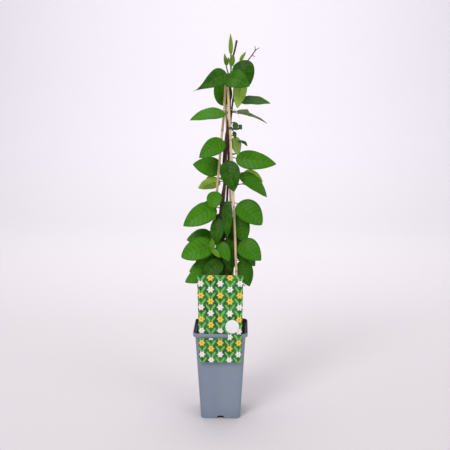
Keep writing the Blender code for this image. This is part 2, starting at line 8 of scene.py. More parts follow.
# %% Load the frame
import json
import math
from functools import partial

import bmesh
import bpy
from mathutils import Matrix, Vector, noise

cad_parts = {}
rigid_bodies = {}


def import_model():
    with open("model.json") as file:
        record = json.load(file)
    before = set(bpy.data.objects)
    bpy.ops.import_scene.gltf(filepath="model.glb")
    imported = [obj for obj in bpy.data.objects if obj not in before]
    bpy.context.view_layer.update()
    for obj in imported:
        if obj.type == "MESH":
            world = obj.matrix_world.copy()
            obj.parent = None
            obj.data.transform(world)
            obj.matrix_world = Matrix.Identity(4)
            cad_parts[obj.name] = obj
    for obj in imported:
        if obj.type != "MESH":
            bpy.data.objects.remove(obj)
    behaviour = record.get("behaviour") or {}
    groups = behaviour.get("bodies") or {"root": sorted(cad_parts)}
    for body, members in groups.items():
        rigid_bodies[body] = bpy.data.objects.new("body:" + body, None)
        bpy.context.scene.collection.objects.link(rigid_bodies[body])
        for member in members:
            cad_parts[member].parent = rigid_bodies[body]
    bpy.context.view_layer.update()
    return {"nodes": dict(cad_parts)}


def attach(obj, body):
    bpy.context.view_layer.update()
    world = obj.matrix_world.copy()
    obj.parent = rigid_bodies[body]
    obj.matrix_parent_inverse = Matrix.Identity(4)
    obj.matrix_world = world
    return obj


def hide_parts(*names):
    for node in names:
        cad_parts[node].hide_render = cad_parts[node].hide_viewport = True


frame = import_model()
MM = 0.001


def placed(name, data):
    """A new object of this name and data, linked to the scene."""
    thing = bpy.data.objects.new(name, data)
    bpy.context.scene.collection.objects.link(thing)
    return thing


def new_node(tree, kind, values=(), **settings):
    """Adds a node to a tree, with its settings and then the values of its inputs."""
    node = tree.nodes.new(kind)
    for key, value in settings.items():
        setattr(node, key, value)
    for key, value in dict(values).items():
        node.inputs[key].default_value = value
    return node


def point_values(mesh, label, values):
    """Gives every point of a mesh its own number under a label."""
    mesh.attributes.new(label, "FLOAT", "POINT").data.foreach_set("value", values)

# %% [markdown]
# Finishes are node trees. A few helpers keep each one short: one adds a node, one links
# two sockets, one makes a ramp between colours and one turns a pattern into a bump. Every
# pattern reads Object coordinates or an attribute that the piece carries, so it stays on
# the piece from any side.

# %% Helpers for finishes


class Finish:
    """A Principled material and the few node calls that the finishes need."""

    def __init__(self, name, roughness, specular):
        self.material = bpy.data.materials.new(name)
        self.material.use_nodes = True
        self.tree = self.material.node_tree
        self.shader = self.tree.nodes["Principled BSDF"]
        self.shader.inputs["Roughness"].default_value = roughness
        self.shader.inputs["Specular IOR Level"].default_value = specular
        self.coords = self.node("ShaderNodeTexCoord").outputs["Object"]

    def node(self, kind, values=(), **settings):
        return new_node(self.tree, kind, values, **settings)

    def put(self, socket, value):
        """Links an output, or sets a plain number or colour."""
        if isinstance(value, bpy.types.NodeSocket):
            self.tree.links.new(value, socket)
        else:
            socket.default_value = value

    def noise(self, scale, detail, rough=0.55, stretch=None):
        source = self.coords
        if stretch is not None:
            mapping = self.node("ShaderNodeMapping", {"Scale": stretch})
            self.put(mapping.inputs["Vector"], source)
            source = mapping.outputs["Vector"]
        new = self.node("ShaderNodeTexNoise", {"Scale": scale, "Detail": detail,
                                               "Roughness": rough})
        self.put(new.inputs["Vector"], source)
        return new.outputs["Fac"]

    def along(self, axis):
        """The X, Y or Z of the object coordinates."""
        split = self.node("ShaderNodeSeparateXYZ")
        self.put(split.inputs[0], self.coords)
        return split.outputs[axis]

    def math(self, operation, a, b=0.0):
        new = self.node("ShaderNodeMath", operation=operation)
        for socket, value in zip(new.inputs, (a, b)):
            self.put(socket, value)
        return new.outputs[0]

    def times(self, a, b):
        return self.math("MULTIPLY", a, b)

    def band(self, value, low, high, out_low=0.0, out_high=1.0, kind="SMOOTHSTEP"):
        """Step of a value from low to high, smooth unless another kind is named."""
        new = self.node("ShaderNodeMapRange", interpolation_type=kind)
        for key, item in (("Value", value), ("From Min", low), ("From Max", high),
                          ("To Min", out_low), ("To Max", out_high)):
            self.put(new.inputs[key], item)
        return new.outputs["Result"]

    def mix(self, share, a, b):
        """Colour a turning into colour b."""
        new = self.node("ShaderNodeMix", data_type="RGBA")
        self.put(new.inputs[0], share)
        self.put(new.inputs[6], a if isinstance(a, bpy.types.NodeSocket) else (*a, 1))
        self.put(new.inputs[7], b if isinstance(b, bpy.types.NodeSocket) else (*b, 1))
        return new.outputs[2]

    def attribute(self, name):
        return self.node("ShaderNodeAttribute", attribute_name=name).outputs

    def bump(self, height, distance, strength):
        new = self.node("ShaderNodeBump", {"Strength": strength, "Distance": distance})
        self.put(new.inputs["Height"], height)
        self.put(self.shader.inputs["Normal"], new.outputs["Normal"])

    def colour(self, value):
        self.put(self.shader.inputs["Base Color"], value)

    def roughness(self, value):
        self.put(self.shader.inputs["Roughness"], value)


def dress(piece, slot, *nodes, finish=None):
    """The piece takes its finish, rides on the plant and stands for these solids; its slot is not
    used.
    """
    if finish:
        piece.data.materials.append(finish)
    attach(piece, "root")
    if nodes:
        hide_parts(*nodes)
    print(f"{piece.name}: {len(piece.data.polygons)} faces")



# %% [markdown]
# The camera is set early, because it decides what has to be fine. It stands about 1.4 m in
# front, a little above the plant's middle, and looks down by almost 10 degrees, so the
# pot's rim is seen from above while the top leaves are seen level. A soft backdrop that
# curves from floor to wall gives the pale ground of a studio shot, with painted shade
# that makes the near floor darker than the wall.

# %% Camera, backdrop and lights
CAMERA_PLACE = (0.037, -1.4285, 0.627)
CAMERA_PITCH = 9.77
CAMERA_TURN = 1.16
CAMERA_LENS = 59.8
WALL_HALF, WALL_BEND, WALL_RADIUS, WALL_TOP = 6.0, 2.2, 1.6, 6.0
FLOOR_FRONT = -4.0
# the near floor colour is painted shade, darker than the far wall; the two blend along Y
PAPER_NEAR_SHADED = (0.735, 0.69, 0.705)
PAPER_FAR = (0.86, 0.83, 0.87)
PAPER_SHADE_FADE = (0.6, 3.2)
# each light: name, place, aim, size, power
LIGHTS = (("key", (-1.2, -2.2, 2.4), (0, 0, 0.4), 1.4, 46),
          ("fill", (1.8, -1.8, 1.3), (0, 0, 0.4), 1.8, 16),
          ("top", (0, 0.3, 2.8), (0, 0, 0.3), 1.4, 22),
          ("wall", (0, 1.2, 2.6), (0, 3.6, 1.2), 2.4, 46))
SKY = (0.93, 0.92, 1.0, 1)
SKY_POWER = 0.40

camera_data = bpy.data.cameras.new("camera")
camera_data.lens = CAMERA_LENS
camera_data.sensor_width = 36.0
camera = placed("camera", camera_data)
camera.location = CAMERA_PLACE
camera.rotation_euler = (math.radians(90 - CAMERA_PITCH), 0, math.radians(CAMERA_TURN))
bpy.context.scene.camera = camera


def mesh_object(name, verts, faces, smooth=True):
    """A mesh object whose faces point outwards, standing at the origin."""
    mesh = bpy.data.meshes.new(name)
    mesh.from_pydata([tuple(v) for v in verts], [], faces)
    work = bmesh.new()
    work.from_mesh(mesh)
    bmesh.ops.recalc_face_normals(work, faces=work.faces)
    work.to_mesh(mesh)
    work.free()
    mesh.shade_smooth() if smooth else mesh.shade_flat()
    return placed(name, mesh)


def backdrop():
    """Floor that sweeps up into a wall, one curved sheet."""
    profile = [(FLOOR_FRONT, 0.0), (0.0, 0.0), (WALL_BEND, 0.0)]
    for step in range(1, 13):
        angle = math.pi / 2 * step / 12
        profile.append((WALL_BEND + WALL_RADIUS * math.sin(angle),
                        WALL_RADIUS * (1 - math.cos(angle))))
    profile.append((WALL_BEND + WALL_RADIUS, WALL_TOP))
    verts = [(x, y, z) for y, z in profile for x in (-WALL_HALF, WALL_HALF)]
    faces = [(2 * k, 2 * k + 1, 2 * k + 3, 2 * k + 2) for k in range(len(profile) - 1)]
    sheet = mesh_object("backdrop", verts, faces)
    finish = Finish("backdrop paper", 0.9, 0.1)
    # painted shade: the paper is darker on the near floor and lightens towards the wall along Y
    far = finish.band(finish.along("Y"), *PAPER_SHADE_FADE, kind="LINEAR")
    finish.colour(finish.mix(far, PAPER_NEAR_SHADED, PAPER_FAR))
    sheet.data.materials.append(finish.material)


def soft_light(name, place, aim, size, power):
    data = bpy.data.lights.new(name, "AREA")
    data.shape = "DISK"
    data.size = size
    data.energy = power
    light = placed(name, data)
    light.location = place
    light.rotation_euler = (Vector(aim) - Vector(place)).to_track_quat("-Z", "Y").to_euler()


backdrop()
for light in LIGHTS:
    soft_light(*light)
world = bpy.data.worlds.new("studio")
bpy.context.scene.world = world
world.use_nodes = True
world.node_tree.nodes["Background"].inputs["Color"].default_value = SKY
world.node_tree.nodes["Background"].inputs["Strength"].default_value = SKY_POWER
bpy.context.scene.view_settings.view_transform = "Standard"
print("camera at", CAMERA_PLACE, "lens", CAMERA_LENS)

# %% [markdown]
# The pot is one thin moulding: a tapering body with rounded corners, a stepped collar
# at the rim and a drain notch in the foot of each side. It could stay as the solid, but
# its corners are faceted, so it is lofted again from the same dimensions with finer
# corners. Rings of points, one for each height, are joined by faces.

# %% The pot
POT_HEIGHT = 178.0
RIM_HALF = 53.0
BASE_HALF = 39.0
BODY_TOP_HALF = 48.6
COLLAR_HEIGHT = 8.0
WALL = 1.6
FLOOR = 2.0
CORNER_RADIUS = 10.0
CORNER_STEPS = 14
NOTCH_FOOT = 17.5
NOTCH_TOP = 10.5
NOTCH_HEIGHT = 6.2
NOTCH_REACH = 8.0
NOTCH_FLARE = 0.45
# inner-wall points above this height that face inwards get near-black painted shade
PAINTED_SHADE_ABOVE = 0.02
PAINTED_SHADE_FACING = -0.3
EDGE = 0.8
SOIL_TOP = 160.0


def vec(point):
    return Vector(point) * MM


def blend(low, high, share):
    return low + (high - low) * share


def rounded_square(half, radius, height, steps=CORNER_STEPS):
    ring = []
    for quarter in range(4):
        turn = quarter * math.pi / 2
        middle = Vector((math.copysign(half - radius, math.cos(turn + math.pi / 4)),
                         math.copysign(half - radius, math.sin(turn + math.pi / 4)), height))
        for s in range(steps + 1):
            angle = turn + s * math.pi / 2 / steps
            ring.append((middle + radius * Vector((math.cos(angle), math.sin(angle), 0))) * MM)
    return ring


def loft(rings):
    """Skin over rings of equal count."""
    count = len(rings[0])
    verts = [point for ring in rings for point in ring]
    faces = []
    for r in range(len(rings) - 1):
        for k in range(count):
            a, b = r * count + k, r * count + (k + 1) % count
            faces.append((a, b, b + count, a + count))
    last = (len(rings) - 1) * count
    faces.append(tuple(reversed(range(count))))
    faces.append(tuple(range(last, last + count)))
    return verts, faces


def inner_half(height):
    share = height / (POT_HEIGHT - COLLAR_HEIGHT)
    return blend(BASE_HALF, BODY_TOP_HALF, share) - WALL


def plain_mesh(piece):
    """Turns an object's modifiers into a plain mesh."""
    graph = bpy.context.evaluated_depsgraph_get()
    mesh = bpy.data.meshes.new_from_object(piece.evaluated_get(graph))
    piece.modifiers.clear()
    piece.data = mesh
    mesh.name = piece.name
    return piece


print("pot in mm:", 2 * RIM_HALF, "wide at the rim and", POT_HEIGHT, "high")

# %% The pot's rings and notches


def pot_rings():
    """Rings up the outside, over the rim and down the inside: half, radius, height."""
    body_top = POT_HEIGHT - COLLAR_HEIGHT
    inner = CORNER_RADIUS - WALL
    rim = CORNER_RADIUS + 3
    rows = [(BASE_HALF - EDGE, CORNER_RADIUS - EDGE, 0), (BASE_HALF - 0.25, CORNER_RADIUS, 0.25),
            (BASE_HALF, CORNER_RADIUS, EDGE)]
    rows += [(blend(BASE_HALF, BODY_TOP_HALF, s / 8), CORNER_RADIUS,
              blend(EDGE, body_top - 1, s / 8)) for s in range(1, 9)]
    rows += [(BODY_TOP_HALF + 0.5, CORNER_RADIUS + 0.4, body_top - 0.2),
             (RIM_HALF - 0.9, rim - 0.6, body_top), (RIM_HALF - 0.3, rim, body_top + 0.3),
             (RIM_HALF - 0.1, rim, body_top + 1), (RIM_HALF, rim, POT_HEIGHT - 0.9),
             (RIM_HALF - 0.25, rim - 0.2, POT_HEIGHT - 0.25),
             (RIM_HALF - EDGE, rim - 0.5, POT_HEIGHT),
             (RIM_HALF - 1.3, rim - 1.0, POT_HEIGHT - 0.2),
             (RIM_HALF - WALL, rim - 1.6, POT_HEIGHT - 0.7),
             (RIM_HALF - WALL - 0.2, rim - 1.8, body_top + WALL + 0.8),
             (RIM_HALF - WALL - 0.8, rim - 2.2, body_top + WALL),
             (inner_half(body_top) + 0.5, inner + 0.3, body_top + WALL - 0.1),
             (inner_half(body_top), inner, body_top + WALL - 0.7),
             (inner_half(FLOOR) + 0.2, inner, FLOOR + 1),
             (inner_half(FLOOR) - EDGE, inner - EDGE, FLOOR)]
    return [rounded_square(*row) for row in rows]


def make_pot():
    pot = mesh_object("nursery_pot", *loft(pot_rings()))
    notches = bpy.data.collections.new("notches")
    bpy.context.scene.collection.children.link(notches)
    for quarter in range(4):
        turn = Matrix.Rotation(quarter * math.pi / 2, 3, "Z")
        rings = [[turn @ vec((x, reach, z)) for x, z in (
            (-NOTCH_FOOT / 2 - NOTCH_FLARE, -1), (NOTCH_FOOT / 2 + NOTCH_FLARE, -1),
            (NOTCH_TOP / 2, NOTCH_HEIGHT), (-NOTCH_TOP / 2, NOTCH_HEIGHT))]
            for reach in (-BASE_HALF - 2, -BASE_HALF + NOTCH_REACH)]
        notch = mesh_object(f"notch_{quarter}", *loft(rings), smooth=False)
        bpy.context.scene.collection.objects.unlink(notch)
        notches.objects.link(notch)
    cut = pot.modifiers.new("notches", "BOOLEAN")
    cut.operation = "DIFFERENCE"
    cut.operand_type = "COLLECTION"
    cut.collection = notches
    cut.solver = "EXACT"
    plain_mesh(pot)
    for notch in list(notches.objects):
        bpy.data.objects.remove(notch)
    bpy.data.collections.remove(notches)
    pot.data.shade_smooth()
    pot.data.set_sharp_from_angle(angle=math.radians(42))
    # inside: the inner-wall points that the finish paints near-black as painted shade
    point_values(pot.data, "inside", [
        float(v.co.z > PAINTED_SHADE_ABOVE and v.normal.xy.dot(v.co.xy.normalized()) < PAINTED_SHADE_FACING)
        for v in pot.data.vertices])
    return pot


print("the pot is lofted over", len(pot_rings()), "rings")

# %% The pot's plastic


def pot_finish():
    """Matt blue-grey plastic: faint flow marks, a little dust of soil."""
    finish = Finish("blue-grey pot plastic", 0.5, 0.42)
    flow = finish.noise(14, 4, stretch=(1, 1, 0.25))
    speck = finish.noise(420, 2)
    base = finish.mix(finish.band(flow, 0.3, 0.75), (0.205, 0.255, 0.33), (0.245, 0.298, 0.375))
    dusty = finish.times(finish.band(finish.noise(55, 5), 0.5, 0.72),
                        finish.band(finish.along("Z"), 0.03, 0.0, 0.0, 0.35))
    base = finish.mix(dusty, base, (0.12, 0.10, 0.08))
    # painted shade: the inner walls are painted near-black
    inside = finish.attribute("inside")["Fac"]
    finish.colour(finish.mix(inside, base, (0.018, 0.014, 0.022)))
    finish.roughness(finish.band(speck, 0.2, 0.8, 0.42, 0.6))
    finish.bump(speck, 0.00012, 0.35)
    return finish.material


pot = make_pot()
dress(pot, "pot", "pot", finish=pot_finish())

# %% [markdown]
# Potting soil is loose: peat crumbs, bits of bark and white specks of perlite. The body
# is a swelling bed with a rough top. The crumbs on it are scattered by Geometry Nodes:
# Distribute Points on Faces picks seeded places on the bed, and each place gets a small
# lumpy ball, turned and sized at random, before all are made real and given a finish.

# %% The soil bed
BED_RINGS = 26


def bed_height(x, y):
    """Height of the bed's top in mm at a place in mm."""
    rough = noise.fractal(Vector((x, y, 3.0)) * 0.11, 0.7, 2.1, 4)
    return SOIL_TOP + 1.2 + 1.3 * rough


def make_bed():
    foot = FLOOR + 0.4
    half = inner_half(SOIL_TOP) - 0.5
    radius = CORNER_RADIUS - WALL
    rings = [rounded_square(inner_half(foot) - 0.5, radius, foot, 6),
             rounded_square(half, radius, SOIL_TOP - 1, 6)]
    for k in range(BED_RINGS):
        share = 1 - k / BED_RINGS
        ring = rounded_square(half * share, radius * share, 0, 6)
        for point in ring:
            point.z = bed_height(point.x / MM, point.y / MM) * MM
        rings.append(ring)
    return mesh_object("soil_bed", *loft(rings))


def soil_finish(name, dark, light, scale):
    finish = Finish(name, 0.95, 0.15)
    crumbs = finish.noise(scale, 6, rough=0.75)
    finish.colour(finish.mix(finish.band(crumbs, 0.35, 0.68), dark, light))
    finish.bump(crumbs, 0.0012, 0.8)
    return finish.material


bed = make_bed()
SOIL_DARK = soil_finish("dark potting soil", (0.018, 0.011, 0.008), (0.075, 0.045, 0.03), 190)
dress(bed, "soil", "soil", finish=SOIL_DARK)

# %% Crumbs scattered on the bed
PERLITE = soil_finish("white perlite", (0.62, 0.6, 0.56), (0.85, 0.84, 0.8), 500)
BARK = soil_finish("bark bits", (0.05, 0.022, 0.012), (0.16, 0.075, 0.04), 260)


def new_tree(name, inputs):
    """A tree with a mesh in and out, and more inputs, each a label and a kind."""
    tree = bpy.data.node_groups.new(name, "GeometryNodeTree")
    for way in ("INPUT", "OUTPUT"):
        tree.interface.new_socket("Geometry", in_out=way, socket_type="NodeSocketGeometry")
    for label, kind in inputs:
        tree.interface.new_socket(label, in_out="INPUT", socket_type="NodeSocket" + kind)
    return tree, partial(new_node, tree)


def wire(tree, *links):
    """Makes links, each a node and its output, then a node and its input."""
    for source, output, target, socket in links:
        tree.links.new(source.outputs[output], target.inputs[socket])


def make_real(tree, start, source, output):
    """Ends a tree: the geometry is made real and given the finish that comes in."""
    real = new_node(tree, "GeometryNodeRealizeInstances")
    paint = new_node(tree, "GeometryNodeSetMaterial")
    end = new_node(tree, "NodeGroupOutput")
    wire(tree, (source, output, real, "Geometry"), (real, "Geometry", paint, "Geometry"),
         (start, "Finish", paint, "Material"), (paint, "Geometry", end, "Geometry"))


def crumb_tree():
    """Seeded crumbs on the upward faces of a bed."""
    tree, new = new_tree("crumb scatter", (
        ("Density", "Float"), ("Small", "Float"), ("Large", "Float"), ("Seed", "Int"),
        ("Finish", "Material")))
    start = new("NodeGroupInput")
    normal, split = new("GeometryNodeInputNormal"), new("ShaderNodeSeparateXYZ")
    upward = new("FunctionNodeCompare", {"B": 0.5}, data_type="FLOAT", operation="GREATER_THAN")
    scatter = new("GeometryNodeDistributePointsOnFaces")
    crumb = new("GeometryNodeMeshIcoSphere", {"Radius": 1.0, "Subdivisions": 2})
    lumpy, lump = new("GeometryNodeSetPosition"), new("ShaderNodeTexNoise", {"Scale": 1.4})
    centre = new("ShaderNodeVectorMath", {1: (0.5, 0.5, 0.5)}, operation="SUBTRACT")
    place = new("GeometryNodeInstanceOnPoints")
    turn = new("FunctionNodeRandomValue", {1: (6.3, 6.3, 6.3)}, data_type="FLOAT_VECTOR")
    size = new("FunctionNodeRandomValue", data_type="FLOAT")
    wire(tree,
         (start, "Geometry", scatter, "Mesh"), (normal, 0, split, 0), (split, "Z", upward, "A"),
         (upward, 0, scatter, "Selection"), (start, "Density", scatter, "Density"),
         (start, "Seed", scatter, "Seed"), (crumb, "Mesh", lumpy, "Geometry"),
         (lump, "Color", centre, 0), (centre, 0, lumpy, "Offset"),
         (scatter, "Points", place, "Points"), (lumpy, "Geometry", place, "Instance"),
         (start, "Seed", turn, "Seed"), (start, "Seed", size, "Seed"),
         (turn, 0, place, "Rotation"), (start, "Small", size, 2), (start, "Large", size, 3),
         (size, 1, place, "Scale"))
    make_real(tree, start, place, "Instances")
    return tree


def run_tree(piece, tree, values):
    """Adds the tree, sets its inputs by identifier and keeps the plain result."""
    modifier = piece.modifiers.new(tree.name, "NODES")
    modifier.node_group = tree
    for item in tree.interface.items_tree:
        if item.in_out == "INPUT" and item.name in values:
            modifier[item.identifier] = values[item.name]
    return plain_mesh(piece)


CRUMB_TREE = crumb_tree()
for crumb, density, small, large, seed, finish in (
        ("soil_crumbs", 150000.0, 0.0006, 0.0016, 4, SOIL_DARK),
        ("bark_bits", 9000.0, 0.0012, 0.0026, 7, BARK),
        ("perlite_specks", 7000.0, 0.0006, 0.0015, 11, PERLITE)):
    field = placed(crumb, bed.data.copy())
    run_tree(field, CRUMB_TREE, {"Density": density, "Small": small, "Large": large,
                                 "Seed": seed, "Finish": finish})
    dress(field, "soil")

# %% [markdown]
# Canes, stems, twigs, leaf stalks, midribs and thread are all round things that follow a
# path. One tree skins them all: the piece starts as bare edges whose points carry a
# radius, Mesh to Curve turns them into curves, Set Curve Radius reads the radius, and
# Curve to Mesh sweeps a circle along. Anything else the points carry, such as an age
# from old bark to young shoot, comes out on the skin and steers its colour.

# %% The tree that skins a path


def skin_tree():
    tree, new = new_tree("round skin", (("Sides", "Int"), ("Finish", "Material")))
    start = new("NodeGroupInput")
    curve, radius = new("GeometryNodeMeshToCurve"), new("GeometryNodeSetCurveRadius")
    wanted = new("GeometryNodeInputNamedAttribute", {"Name": "radius"}, data_type="FLOAT")
    circle = new("GeometryNodeCurvePrimitiveCircle", {"Radius": 1.0})
    skin = new("GeometryNodeCurveToMesh", {"Fill Caps": True})
    smooth = new("GeometryNodeSetShadeSmooth")
    wire(tree,
         (start, "Geometry", curve, "Mesh"), (curve, "Curve", radius, "Curve"),
         (wanted, "Attribute", radius, "Radius"), (start, "Sides", circle, "Resolution"),
         (radius, "Curve", skin, "Curve"), (circle, "Curve", skin, "Profile Curve"),
         (skin, "Mesh", smooth, "Geometry"))
    make_real(tree, start, smooth, "Geometry")
    if "Scale" in skin.inputs:
        wire(tree, (wanted, "Attribute", skin, "Scale"))
    return tree


SKIN_TREE = skin_tree()


def skin_paths(name, paths, finish, sides):
    """One mesh from paths, each a list of (place in metres, radius, age)."""
    mesh = bpy.data.meshes.new(name)
    points, edges = [], []
    for path in paths:
        first = len(points)
        points.extend(path)
        edges.extend((first + k, first + k + 1) for k in range(len(path) - 1))
    mesh.from_pydata([tuple(place) for place, _, _ in points], edges, [])
    for label, column in (("radius", 1), ("age", 2)):
        point_values(mesh, label, [point[column] for point in points])
    return run_tree(placed(name, mesh), SKIN_TREE, {"Sides": sides, "Finish": finish})


def smooth_path(points, steps):
    """Smooth curve through points, with a number of steps between neighbours."""
    ends = [2 * points[0] - points[1]] + list(points) + [2 * points[-1] - points[-2]]
    path = []
    for k in range(1, len(ends) - 2):
        p0, p1, p2, p3 = ends[k - 1:k + 3]
        for s in range(steps):
            t = s / steps
            path.append(0.5 * (2 * p1 + (p2 - p0) * t + (2 * p0 - 5 * p1 + 4 * p2 - p3) * t * t
                               + (3 * p1 - p0 - 3 * p2 + p3) * t ** 3))
    path.append(points[-1].copy())
    return path


print("skin tree with", len(SKIN_TREE.nodes), "nodes")

# %% [markdown]
# The canes are thin bamboo: straw-coloured rods that swell a little at each joint, with
# a scar ring there and fine grain along their length. The joints are bumps in the radius
# that the path carries, and the same bumps, kept as the age, darken the scar in the finish.

# %% The canes
CANE_RADIUS = 2.65
CANE_TOP_RADIUS = 2.4
CANE_JOINTS = {"cane_left": (118, 92), "cane_right": (126, 41), "cane_back": (110, 70)}
CANES = {
    "cane_left": [(-35, -10, 75), (-30, -8, 160), (-21, -5.1, 287), (-11.5, -2.5, 403),
                  (-6, -1.1, 463), (1.6, 0.8, 549), (6.5, 2, 602), (9.6, 3.4, 664)],
    "cane_right": [(37, -24.7, 75), (35, -22, 160), (30.5, -18, 287), (26, -14.4, 400),
                   (21.2, -11.2, 500), (17.8, -9.2, 565), (15.7, -8, 602), (12.8, -6.4, 655)],
    "cane_back": [(26, 29, 60), (25.5, 26, 160), (22.5, 20.5, 300), (18, 14.6, 445),
                  (12.5, 10.2, 555), (10, 8.3, 602), (10, 8.2, 612)],
}


def cane_path(name):
    points = smooth_path([vec(p) for p in CANES[name]], 40)
    spacing, first = CANE_JOINTS[name]
    path = []
    for k, place in enumerate(points):
        share = k / (len(points) - 1)
        along = place.z / MM - first
        off = abs(along - spacing * round(along / spacing))
        ring = math.exp(-(off / 1.1) ** 2)
        swell = math.exp(-(off / 5.0) ** 2)
        radius = blend(CANE_RADIUS, CANE_TOP_RADIUS, share) - 0.12 + 0.16 * swell - 0.2 * ring
        path.append((place, radius * MM, ring))
    return path


def cane_finish():
    finish = Finish("straw cane", 0.48, 0.45)
    grain = finish.noise(60, 5, stretch=(9, 9, 0.35), rough=0.6)
    patch = finish.noise(16, 3, stretch=(1, 1, 0.5))
    base = finish.mix(finish.band(grain, 0.3, 0.7), (0.62, 0.44, 0.20), (0.88, 0.72, 0.44))
    base = finish.mix(finish.band(patch, 0.45, 0.75, 0.0, 0.5), base, (0.42, 0.26, 0.12))
    ring = finish.times(finish.attribute("age")["Fac"], 0.75)
    finish.colour(finish.mix(ring, base, (0.16, 0.085, 0.035)))
    finish.bump(grain, 0.0003, 0.5)
    return finish.material


CANE_FINISH = cane_finish()
for name in CANES:
    cane = skin_paths("bamboo_" + name, [cane_path(name)], CANE_FINISH, 16)
    dress(cane, "cane", name)

# %% [markdown]
# Each stem is thin and woody below, purple-brown in the middle and green at the tip, and
# swells a little at every leaf pair. The leaf list gives each leaf its node, the foot and
# tip of its blade, its width and how its face is turned, the same choices as in the
# solids, with a tone from dark old leaf to bright young one. A low tone is partly the
# leaf's own darkness and partly painted shade, as on the steep leaves of the shaded middle.

# %% Stems, twigs and the leaf list
STEMS = {
    "vine_a": ([(-6, -6, 138), (-8, -8, 285), (-6, -8, 345), (1.5, -8, 400), (7.5, -7.5, 450),
                (9.5, -6, 505), (13, -4, 550), (17, 1, 595), (19, 0, 668), (19, -1, 706)], 2.3, 1.0),
    "vine_b": ([(8, -4, 138), (12, -4, 305), (11, -3, 395), (13, -1, 450), (15, 0, 500),
                (15.6, 1.5, 541), (22, 4, 612), (30, 3, 660), (37, 2, 692)], 2.2, 0.9),
    "vine_c": ([(2, 10, 138), (0, 12, 260), (-4, 12, 345), (0, 9, 420), (7, 6, 466),
                (5, 4, 500), (9.5, 3, 550), (14, 5.5, 575), (17.5, 7.5, 602), (15, 9, 660),
                (11, 9.5, 680), (8, 8, 702)], 2.2, 0.8),
}
# stem, points, foot radius, tip radius, age at foot and tip
TWIGS = [
    ("vine_a", [(19, 0, 686), (23, 4, 700), (26, 5, 711), (30, 6, 730)], 1.6, 1.9, 0.0, 0.0),
    ("vine_a", [(-6.4, -8, 332), (-11, -20, 335), (-16, -33, 338), (-16, -34, 341)],
     0.9, 0.8, 0.6, 1.0),
    ("vine_b", [(34, 2, 678), (41, -4, 684), (52, -6, 694), (66, -6, 713)], 1.3, 1.0, 0.1, 0.2),
    ("vine_b", [(64, -6, 710), (64, -6.5, 716), (63, -7, 719)], 0.7, 0.5, 0.2, 0.4),
    ("vine_b", [(65, -6, 712), (69, -5, 714), (72, -4.5, 716)], 0.7, 0.5, 0.2, 0.4),
    ("vine_b", [(57, -6, 701), (61, -7, 701), (64, -8, 699)], 0.7, 0.5, 0.2, 0.4),
]
